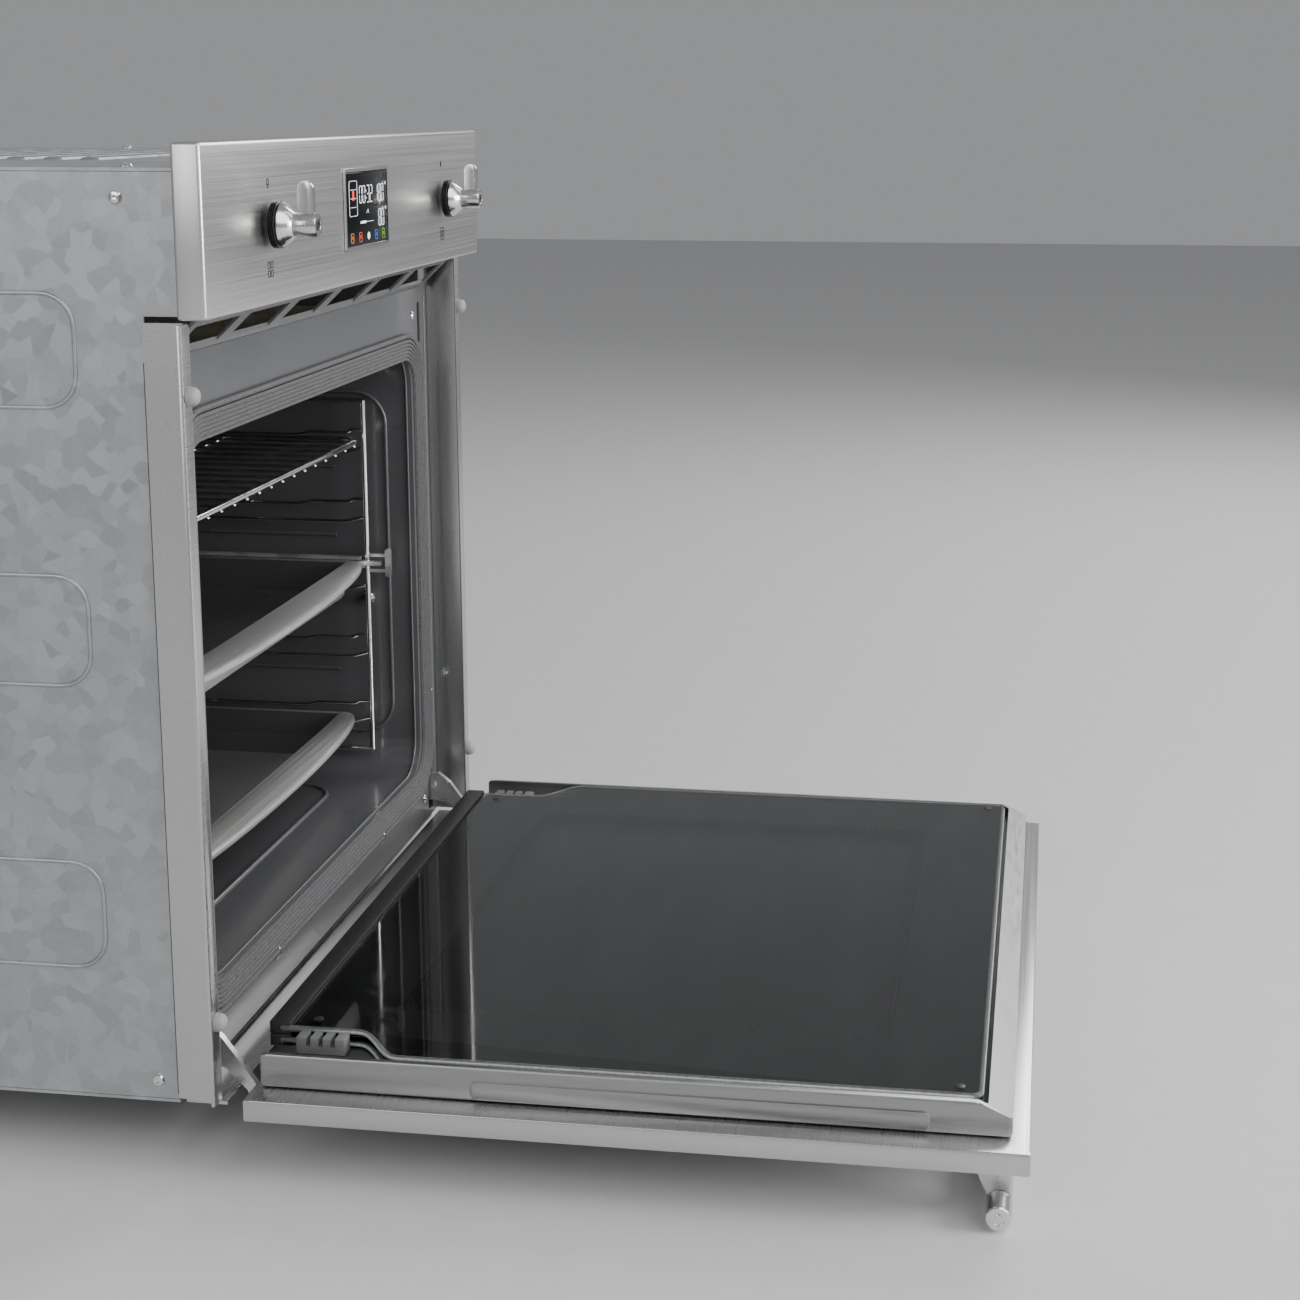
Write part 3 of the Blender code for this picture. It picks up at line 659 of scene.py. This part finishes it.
def build_knob_details():
    """The ribbed grip ring behind each knob and the cap on its end."""
    for side, sign in (("left", -1), ("right", 1)):
        x = sign * KNOB_X
        ring = Form()
        profile = [(7.4, 3.4), (13.4, 3.4)]
        for k in range(4):
            at = 3.7 + 1.2 * k
            profile.extend(((14.0, at), (14.6, at + 0.3), (14.6, at + 0.65), (13.7, at + 0.95)))
        profile.extend(((13.2, 8.4), (7.4, 8.4)))
        loops = [[(x + a, u, KNOB_Z + b) for a, b in disc(r, 48)] for r, u in profile]
        ring.loft(loops, closed=True)
        ring.piece(side + "_knob_grip_ring", RING_RUBBER, side + "_knob",
                   (side + "_knob_ring",))
        cap = Form()
        cap.turned((x, 31.3, KNOB_Z), "u", [(3.7, -0.1), (3.7, 0.35), (3.2, 0.6), (1.9, 0.6),
                                            (1.6, 0.2), (0.0, 0.15)], 32)
        cap.piece(side + "_knob_end_cap", BLACK, side + "_knob")


# ------------------------------------------------------------- front face

def build_gasket():
    """The ribbed seal round the mouth, with a braided outer cord."""
    def loop(inset, u, radius):
        outline = rounded(264.0 - inset, 198.0 - inset, radius - inset * 0.9, 8)
        return [(a, u, 232.0 + b) for a, b in outline]

    band = Form()
    outside, inside = 5.2, 22.6
    loops = [loop(outside, -41.6, 46.0)]
    ribs = 6
    step = (inside - outside) / ribs
    for k in range(ribs):
        start = outside + (inside - outside) * k / ribs
        crest = -38.0 - 1.9 * k / ribs
        loops.append(loop(start, crest - 0.9, 46.0))
        loops.append(loop(start + step * 0.3, crest, 46.0))
        loops.append(loop(start + step * 0.75, crest, 46.0))
    loops.append(loop(inside, -41.6, 46.0))
    band.loft(loops, closed=True)
    band.piece("gasket_ribs", GASKET, "root", ("door_gasket",))

    cord = Form()
    loops = []
    for k in range(8):
        a = 2 * math.pi * k / 8
        loops.append(loop(2.5 + 2.1 * math.cos(a), -39.6 + 1.9 * math.sin(a), 46.0))
    cord.loft(loops, closed=True)
    cord.piece("gasket_cord", GASKET, "root")

    hooks = []
    for x, z in ((-261.5, 120.0), (261.5, 120.0), (-120.0, 36.5), (120.0, 36.5)):
        across = (6.0, 0.0) if abs(x) > 200.0 else (0.0, 6.0)
        run = [(x - across[0], -41.0, z - across[1]), (x, -37.4, z),
               (x + across[0], -41.0, z + across[1])]
        hooks.append(bent(run, 4.0))
    wires("gasket_hooks", hooks, 0.7, CHROME, "root")


def build_face_details():
    """Door buffers, frame screws and the raised beads pressed into the enamel."""
    buffers = Form()
    seat = -16.4
    dome = [(5.8, 0.0), (5.8, 2.0), (5.4, 4.2), (4.0, 6.0), (2.0, 6.9), (0.0, 7.1)]
    for x in (-290.0, 290.0):
        for z in (60.0, 446.0):
            buffers.turned((x, seat, z), "u", dome, 28)
    rubber = buffers.piece("door_buffers", BUFFER, "root")
    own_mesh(rubber)

    screws = Form()
    for x in (-243.0, 243.0):
        for z in (28.0, 442.0):
            screw(screws, x, MOUTH_FACE - 0.1, z, "u", 3.6, 1.5)
    screws.piece("frame_screws", CHROME, "root")

    corners = []
    for sign in (-1, 1):
        corners.append([(sign * 275.0, MOUTH_FACE, 14.0), (sign * 275.0, MOUTH_FACE, 456.0)])
        corners.append([(sign * 284.8, -17.2, 9.0), (sign * 284.8, -17.2, 486.0)])
    wires("face_corner_beads", corners, 0.8, GRILLE_ENAMEL, "root")

    outline = [(a, -46.3, 235.0 + b) for a, b in rounded(235.2, 178.2, 29.2, 8)]
    wires("mouth_lip", [(outline, True)], 0.9, FACE_ENAMEL, "root")


# ------------------------------------------------------------- cavity

def build_cavity_details():
    """Pressed beads in the side walls and floor, and the fan cover's screws."""
    runs = []
    for sign in (-1, 1):
        x = sign * CAVITY_WALL
        outline = [(x, -243.0 + a, 234.0 + b) for a, b in rounded(178.0, 145.0, 26.0, 6)]
        runs.append((outline, True))
        for z in RAIL_LEVELS:
            runs.append([(x, -110.0, z - 33.0), (x, -376.0, z - 33.0)])
    wires("side_wall_beads", runs, 1.6, CAVITY_ENAMEL, "root")

    floor = [([(a, -250.0 + b, CAVITY_FLOOR) for a, b in rounded(180.0, 152.0, 30.0, 6)], True)]
    wires("floor_bead", floor, 2.0, CAVITY_ENAMEL, "root")

    screws = Form()
    for x in (-160.0, 160.0):
        for z in (108.0, 362.0):
            screw(screws, x, -419.9, z, "u", 4.0, 2.0)
    screws.piece("fan_cover_screws", CHROME, "root")

    holders = Form()
    for sign in (-1, 1):
        for u in (RACK_FRONT - 4.0, RACK_BACK + 4.0):
            holders.turned((sign * CAVITY_WALL, u, 205.0), "x",
                           [(6.0, 0.0), (6.0, -sign * 2.0), (3.0, -sign * 3.0),
                            (3.0, -sign * 8.5), (4.6, -sign * 9.0), (4.6, -sign * 10.2),
                            (0.0, -sign * 10.4)], 20)
    holders.piece("rack_studs", CHROME, "root")


def build_rack(side, sign):
    """One side rack: two posts joined by pairs of rails that kink near the front."""
    x = sign * RACK_X
    posts = []
    for u in (RACK_FRONT, RACK_BACK):
        posts.append([(x, u, RACK_LOW), (x, u, RACK_TOP)])
    ends = []
    for z in (RACK_LOW, RACK_TOP):
        ends.append([(x, RACK_FRONT, z), (x, RACK_BACK, z)])
    wires(side + "_rack_posts", posts + ends, 2.3, CHROME, "root",
          (side + "_rack_frame",))
    rails = []
    for z in RAIL_LEVELS:
        low = z - RAIL_PAIR
        upper = [(x, RACK_FRONT, z), (x, -90.0, z), (x, -94.0, z - 2.4), (x, -126.0, z - 2.4),
                 (x, -136.0, z - 5.0), (x, -384.0, z - 5.0), (x, RACK_BACK, z)]
        lower = [(x, RACK_FRONT, low), (x, -96.0, low - 4.5), (x, -386.0, low - 4.5),
                 (x, RACK_BACK, low)]
        rails.append(bent(upper, 4.0))
        rails.append(bent(lower, 5.0))
    wires(side + "_rack_rails", rails, 1.7, CHROME, "root")
    bracket = Form()
    for z in (231.0, 244.0):
        bracket.plate(rounded(9.0, 1.4, 1.0, 3), "x", (-70.5, z), sign * 222.4,
                      sign * 224.8, 0.3)
    bracket.plate(rounded(2.0, 12.0, 1.8, 4), "x", (-62.0, 237.8), sign * 221.0,
                  sign * 227.5, 0.5)
    bracket.piece(side + "_guide_bracket", HINGE_ZINC, "root")


def build_shelf():
    """The wire shelf: a thick front bar, a frame and bars that run front to back."""
    half = SHELF_HALF
    back = SHELF_BACK
    z = SHELF_Z
    outline = [(-half, back, z), (-half, -92.0, z), (-204.0, -81.0, z), (204.0, -81.0, z),
               (half, -92.0, z), (half, back, z)]
    rear = [(-half, back, z), (-half, back, z + 9.0), (half, back, z + 9.0), (half, back, z)]
    wires("shelf_frame", [bent(outline, 9.0), bent(rear, 8.0)], 2.6, CHROME, "wire_shelf",
          ("wire_shelf",))
    bars = []
    count = 18
    margin = 12.0
    pitch = 2 * (half - margin) / (count - 1)
    for k in range(count):
        x = -half + margin + pitch * k
        bars.append(bent([(x, -81.5, z - 5.0), (x, -84.0, z - 2.2), (x, -90.0, z - 1.0),
                          (x, back, z - 1.0)], 3.0))
    wires("shelf_bars", bars, 1.5, CHROME, "wire_shelf", rings=2)
    braces = [[(-half, u, z - 3.6), (half, u, z - 3.6)] for u in (-200.0, -310.0)]
    wires("shelf_braces", braces, 1.9, CHROME, "wire_shelf")


def build_tray(name, rim_z, depth, half, front):
    """A pressed tray with a rolled rim that bows out at the front and a dark lining."""
    back = -400.0
    straight = front - 26.0
    side_count = 10
    bow_count = 28

    def loop(inset, z, bow):
        """The rim's outline pulled in by inset, with bow left of its front bulge."""
        wide = half - inset
        points = []
        for k in range(bow_count + 1):
            a = math.pi * k / bow_count
            reach = straight - inset * 0.3 + bow * math.sin(a) ** 0.8
            points.append((wide * math.cos(a), reach, z))
        for k in range(1, side_count):
            points.append((-wide, straight + (back + inset - straight) * k / side_count, z))
        for k in range(side_count + 1):
            points.append((-wide + 2 * wide * k / side_count, back + inset, z))
        for k in range(1, side_count):
            points.append((wide, back + inset + (straight - back - inset) * k / side_count, z))
        return points

    form = Form()
    loops = [
        loop(1.8, rim_z - 7.6, 24.8), loop(0.5, rim_z - 6.8, 25.8), loop(0.0, rim_z - 5.2, 26.0),
        loop(0.4, rim_z - 3.6, 25.6), loop(2.6, rim_z - 2.2, 23.4), loop(9.0, rim_z - 0.3, 6.0),
        loop(10.4, rim_z, 3.6), loop(11.6, rim_z - 1.0, 2.6),
        loop(13.0, rim_z - depth * 0.5, 2.0),
        loop(15.5, rim_z - depth + 4.0, 0.5), loop(19.0, rim_z - depth + 1.9, 0.0),
        loop(60.0, rim_z - depth + 1.6, 0.0), loop(60.0, rim_z - depth + 0.4, 0.0),
        loop(18.4, rim_z - depth + 0.2, 0.0), loop(14.2, rim_z - depth + 2.6, 0.5),
        loop(11.8, rim_z - depth * 0.5, 3.0), loop(10.2, rim_z - 2.4, 4.0),
        loop(3.4, rim_z - 4.6, 22.0), loop(2.8, rim_z - 6.4, 23.4),
    ]
    form.loft(loops, closed=True)
    for z, turn in ((rim_z - depth + 1.6, 1), (rim_z - depth + 0.4, -1)):
        corners = loop(60.0, z, 0.0)[::turn]
        form.mesh.faces.new([form.mesh.verts.new(place(*p)) for p in corners])
    bmesh.ops.recalc_face_normals(form.mesh, faces=form.mesh.faces)
    lining_top = (rim_z - 1.2) * MM
    for face in form.mesh.faces:
        middle = face.calc_center_median()
        inside = abs(middle.x) < (half - 9.0) * MM and middle.y > place(0, front - 31.0, 0).y
        if inside and middle.z < lining_top and face.normal.z > 0.02:
            face.material_index = 1
    pan = form.piece(name + "_pan", TRAY_STEEL, name, (name,))
    pan.data.materials.append(TRAY_ENAMEL)


# ------------------------------------------------------------- door

def build_frit(label, body, z, s_low, s_high, half, narrow=None):
    """The ceramic border printed on a pane, fading inwards through rows of dots."""
    window = (196.0, 78.0, 384.0)
    if label == "outer":
        window = (228.0, 72.0, 398.0)
    centre_u = (window[1] + window[2]) / 2
    inner = [(a, centre_u + b) for a, b in
             rounded(window[0] + 6.0, (window[2] - window[1]) / 2 + 6.0, 10.0, 6)]
    outer = []
    mid_u = (s_low + s_high) / 2
    for a, b in inner:
        dx, du = a, b - mid_u
        reach = min(half / max(abs(dx), 0.001), (s_high - s_low) / 2 / max(abs(du), 0.001))
        outer.append((dx * reach, mid_u + du * reach))
    for wanted in ((half, s_low), (half, s_high), (-half, s_low), (-half, s_high)):
        nearest = min(range(len(outer)), key=lambda k: math.dist(outer[k], wanted))
        outer[nearest] = wanted
    if narrow:
        trimmed = []
        for a, b in outer:
            share = min(1.0, max(0.0, (b - SHOULDER_U) / SHOULDER_LENGTH))
            limit = narrow + (half - narrow) * eased(share)
            trimmed.append((max(-limit, min(limit, a)), b))
        outer = trimmed
    form = Form()
    thick = 0.14
    loops = []
    for outline, at in ((outer, z), (outer, z + thick), (inner, z + thick), (inner, z)):
        loops.append([(a, b, at) for a, b in outline])
    form.loft(loops, closed=True)
    spacing = 4.2
    for row, radius in enumerate((1.35, 1.05, 0.75)):
        inset = 3.6 - 3.4 * row
        outline = rounded(window[0] + inset, (window[2] - window[1]) / 2 + inset, 8.0, 6)
        for start, end in zip(outline, outline[1:] + outline[:1]):
            steps = max(1, round(math.dist(start, end) / spacing))
            for k in range(steps):
                a = start[0] + (end[0] - start[0]) * k / steps
                b = start[1] + (end[1] - start[1]) * k / steps
                form.plate(disc(radius, 6), "z", (a, centre_u + b), z, z + thick)
    form.piece(label + "_frit", FRIT, body)


def pane_edge(z, inset):
    """The outline of a pane: narrow at the hinge side, then widening past the arms."""
    narrow, wide = PANE_NARROW - inset, PANE_HALF - inset
    start, end = 5.0 + inset, 450.0 - inset
    right = [(narrow, start)]
    for k in range(9):
        t = k / 8
        right.append((narrow + (wide - narrow) * eased(t), SHOULDER_U + SHOULDER_LENGTH * t))
    right.extend(((wide, end - 5.0), (wide - 1.5, end - 1.5), (wide - 5.0, end)))
    left = [(-x, s) for x, s in reversed(right)]
    return [(x, s, z) for x, s in right + left]


def build_pane_details():
    """The polished edges of the two lift-out panes and their stop marks."""
    for label, z in (("middle", 27.0), ("inner", 35.0)):
        wires(label + "_polished_edge", [(pane_edge(z, 1.1), True)], 1.5, GROUND_GLASS,
              label + "_pane")
        pads = Form()
        for sign in (-1, 1):
            for s in (26.0, 436.0):
                reach = 226.0 if s < 100.0 else 262.0
                pads.turned((sign * reach, s, z + 2.0), "z",
                            [(3.4, 0.0), (3.4, 0.15), (2.9, 0.35), (0.0, 0.4)], 20)
        pads.piece(label + "_pane_pads", BLACK, label + "_pane")


def build_door_frame_details():
    """Screws, vent slots drawn as flat black plates (painted shade where the openings are), side
    pads and bright edge wires of the door's inner frame; on its rim these wires are lighter steel
    than the frame, a painted highlight.
    """
    ledge = LEDGE_Z
    screws = Form()
    rings = Form()
    for sign in (-1, 1):
        for s in (133.0, 157.0, 254.0, 403.0):
            screw(screws, sign * HINGE_X, s, ledge, "z", 3.0, 0.5)
        for s in (112.0, 424.0):
            rings.turned((sign * 261.0, s, ledge), "z",
                         [(7.0, 0.0), (7.0, 0.3), (6.2, 0.5), (4.2, 0.5), (3.8, 0.2),
                          (0.0, 0.15)], 32)
    for x in (-150.0, 0.0, 150.0):
        for s in (438.0, 38.0):
            screw(screws, x, s, ledge, "z", 3.0, 0.5)
    screws.piece("door_frame_screws", CHROME, "door")
    rings.piece("door_frame_bushings", HINGE_ZINC, "door")

    # Flat black plates where the vent slots open: painted shade standing in for the dark inside
    # of the openings.
    slots = Form()
    for sign in (-1, 1):
        slots.plate(rounded(118.0, 2.4, 2.2, 4), "x", (262.0, 19.4), sign * 246.4,
                    sign * 245.6, 0.2)
    for k in range(5):
        slots.plate(rounded(30.0, 2.2, 2.0, 4), "u", (-160.0 + 80.0 * k, 19.4), 424.4,
                    423.6, 0.2)
    slots.piece("door_vent_slot_shade", BLACK, "door")

    pads = Form()
    for sign in (-1, 1):
        pads.plate(rounded(140.0, 5.6, 4.0, 5), "x", (280.0, 22.0), sign * 279.8,
                   sign * 281.4, 0.6)
    for k in range(7):
        s = 20.0 + 5.0 * k
        pads.plate(rounded(205.0, 0.9, 0.8, 3), "z", (0.0, s + 6.0), ledge, ledge + 0.5, 0.2)
    pads.piece("door_frame_ribs", DOOR_ALUMINIUM, "door")

    # Round wires along the door's rims. Those on the inner frame (x ±279 and across at u 466.8)
    # are lighter satin steel than its aluminium: a painted highlight along the rim. Those on the
    # outer skin are the skin's own steel.
    edges = []
    for sign in (-1, 1):
        x = sign * 279.0
        edges.append([(x, 10.0, 35.4), (x, 446.0, 35.4), (x, 464.0, 27.4)])
        edges.append([(sign * 297.9, 6.0, 13.5), (sign * 297.9, 474.0, 13.5)])
    edges.append([(-276.0, 466.8, 26.4), (276.0, 466.8, 26.4)])
    edges.append([(-294.0, 478.4, 13.5), (294.0, 478.4, 13.5)])
    wires("door_edges_and_rim_highlight", edges, 0.6, SATIN_STEEL, "door", rings=2)


def build_handle_details():
    """The turned caps on the ends of the handle bar."""
    caps = Form()
    for sign in (-1, 1):
        caps.turned((sign * (HANDLE_HALF - 0.2), HANDLE_U, HANDLE_Z), "x",
                    [(7.5, 0.0), (7.5, sign * 0.8), (6.9, sign * 1.4), (4.2, sign * 1.5),
                     (4.0, sign * 0.4), (2.6, sign * 0.3), (2.5, sign * 1.0), (0.0, sign * 1.1)],
                    36)
    caps.piece("handle_end_caps", CHROME, "door")


# ------------------------------------------------------------- housing

def build_housing_details():
    """Louvres, beads and screws on the sheet panels that the niche hides."""
    beads = []
    for sign in (-1, 1):
        x = sign * BODY_HALF
        for z in (120.0, 300.0, 470.0):
            outline = [(x, -295.0 + a, z + b) for a, b in rounded(205.0, 34.0, 20.0, 6)]
            beads.append((outline, True))
    wires("side_panel_beads", beads, 1.4, ZINC, "root")

    back = []
    for x, z in ((-140.0, 150.0), (140.0, 150.0), (-140.0, 400.0), (140.0, 400.0)):
        outline = [(x + a, BODY_BACK, z + b) for a, b in rounded(105.0, 95.0, 22.0, 6)]
        back.append((outline, True))
    wires("back_panel_beads", back, 1.4, ZINC, "root")

    gland = Form()
    gland.turned((190.0, BODY_BACK, 525.0), "u",
                 [(15.0, 0.2), (15.0, -1.6), (13.6, -2.6), (10.4, -2.6), (9.6, -1.4), (6.4, -1.4),
                  (6.0, -0.4), (0.0, -0.2)], 36)
    gland.piece("rear_cable_inlet", BLACK, "root")
    cover = Form()
    cover.plate(rounded(78.0, 78.0, 20.0, 6), "u", (0.0, 235.0), BODY_BACK + 0.2,
                BODY_BACK - 1.4, 0.5)
    for x in (-66.0, 66.0):
        for z in (169.0, 301.0):
            screw(cover, x, BODY_BACK - 1.3, z, "u", 3.6, 1.8, -1)
    cover.piece("rear_fan_cover", ZINC, "root")

    louvres = Form()
    for k in range(9):
        x = -88.0 + 22.0 * k
        louvres.loft([[(x + a, BODY_BACK - lift, 530.0 + b * share)
                       for a, b in rounded(7.0 * share, 16.0, 3.0 * share, 3)]
                      for lift, share in ((0.0, 1.0), (1.6, 0.85), (2.4, 0.5))])
    for k in range(11):
        u = -150.0 - 26.0 * k
        louvres.loft([[(a * 0.98, u + b, BODY_TOP + lift)
                       for a, b in rounded(120.0 * (0.9 + share * 0.1), 7.0 * share,
                                           3.0 * share, 3)]
                      for lift, share in ((0.0, 1.0), (1.4, 0.85), (2.0, 0.5))])
    louvres.piece("panel_louvres", ZINC, "root")

    screws = Form()
    for x in (-265.0, 0.0, 265.0):
        for z in (16.0, 562.0):
            screw(screws, x, BODY_BACK + 0.1, z, "u", 4.0, 2.2, -1)
    for sign in (-1, 1):
        for u in (-60.0, -290.0, -530.0):
            for z in (14.0, 560.0):
                screw(screws, sign * (BODY_HALF - 0.1), u, z, "x", 4.0, 2.2, sign)
        for u in (-60.0, -290.0, -530.0):
            screw(screws, sign * 262.0, u, BODY_TOP - 0.1, "z", 4.0, 2.2)
    screws.piece("housing_screws", CHROME, "root")


# ------------------------------------------------------------- studio

def area_light(name, at, aim, power, width, height):
    """A soft rectangular lamp at a point, turned to face another."""
    data = bpy.data.lights.new(name, "AREA")
    data.shape = "RECTANGLE"
    data.energy = power
    data.size = width
    data.size_y = height
    lamp = bpy.data.objects.new(name, data)
    bpy.context.scene.collection.objects.link(lamp)
    lamp.location = at
    lamp.rotation_euler = (Vector(aim) - Vector(at)).to_track_quat("-Z", "Y").to_euler()


def build_studio():
    """A pale floor, an even sky and four soft lamps."""
    world = bpy.data.worlds.new("studio")
    world.use_nodes = True
    sky = world.node_tree.nodes["Background"]
    sky.inputs["Color"].default_value = (0.80, 0.81, 0.83, 1.0)
    sky.inputs["Strength"].default_value = 0.38
    bpy.context.scene.world = world

    floor = bmesh.new()
    reach = 9.0
    level = cad_low.z - 0.002
    corners = [(-reach, -reach), (reach, -reach), (reach, reach), (-reach, reach)]
    floor.faces.new([floor.verts.new((x, y, level)) for x, y in corners])
    data = bpy.data.meshes.new("floor")
    floor.to_mesh(data)
    floor.free()
    ground = bpy.data.objects.new("floor", data)
    bpy.context.scene.collection.objects.link(ground)
    paper = Look("floor_paper", (0.62, 0.62, 0.62), 0.0, 0.85)
    paper.vary(paper.noise((60.0, 60.0, 60.0), 3.0), 0.015)
    data.materials.append(paper.material)

    area_light("key", (-1.6, -2.6, 2.4), (0.0, -0.3, 0.3), 74.0, 3.0, 3.0)
    area_light("fill", (-2.4, 0.6, 1.4), (0.0, -0.2, 0.3), 18.0, 1.5, 1.5)
    area_light("rim", (2.2, -1.6, 1.9), (0.0, -0.3, 0.3), 45.0, 1.2, 1.6)
    area_light("front", (-0.3, -2.6, 0.7), (0.0, 0.1, 0.25), 45.0, 0.9, 0.9)


def build_camera():
    """The viewpoint: left of the open door, a little above it, looking across."""
    data = bpy.data.cameras.new("camera")
    data.lens = 60.0
    data.sensor_width = 36.0
    data.shift_x = -0.06
    data.shift_y = -0.12
    data.clip_end = 50.0
    camera = bpy.data.objects.new("camera", data)
    bpy.context.scene.collection.objects.link(camera)
    camera.location = (-1.478, -0.748, 0.613)
    yaw, pitch = math.radians(8.5), math.radians(10.2)
    ahead = Vector((math.cos(pitch) * math.cos(yaw), math.cos(pitch) * math.sin(yaw),
                    -math.sin(pitch)))
    camera.rotation_euler = ahead.to_track_quat("-Z", "Y").to_euler()
    bpy.context.scene.camera = camera


dress_cad_nodes()
build_display()
build_panel_icons()
build_knob_details()
build_gasket()
build_face_details()
build_cavity_details()
for side_name, side_sign in (("left", -1), ("right", 1)):
    build_rack(side_name, side_sign)
build_shelf()
build_tray("deep_tray", 243.0, 30.0, 212.6, -62.0)
build_tray("baking_tray", 112.0, 24.0, 219.0, -74.0)
build_frit("outer", "door", 6.0, 12.0, 466.0, 287.0)
build_frit("middle", "middle_pane", 24.7, 14.0, 448.0, 270.5, 237.5)
build_frit("inner", "inner_pane", 32.7, 14.0, 448.0, 270.5, 237.5)
build_door_frame_details()
build_pane_details()
build_handle_details()
build_housing_details()
build_studio()
build_camera()
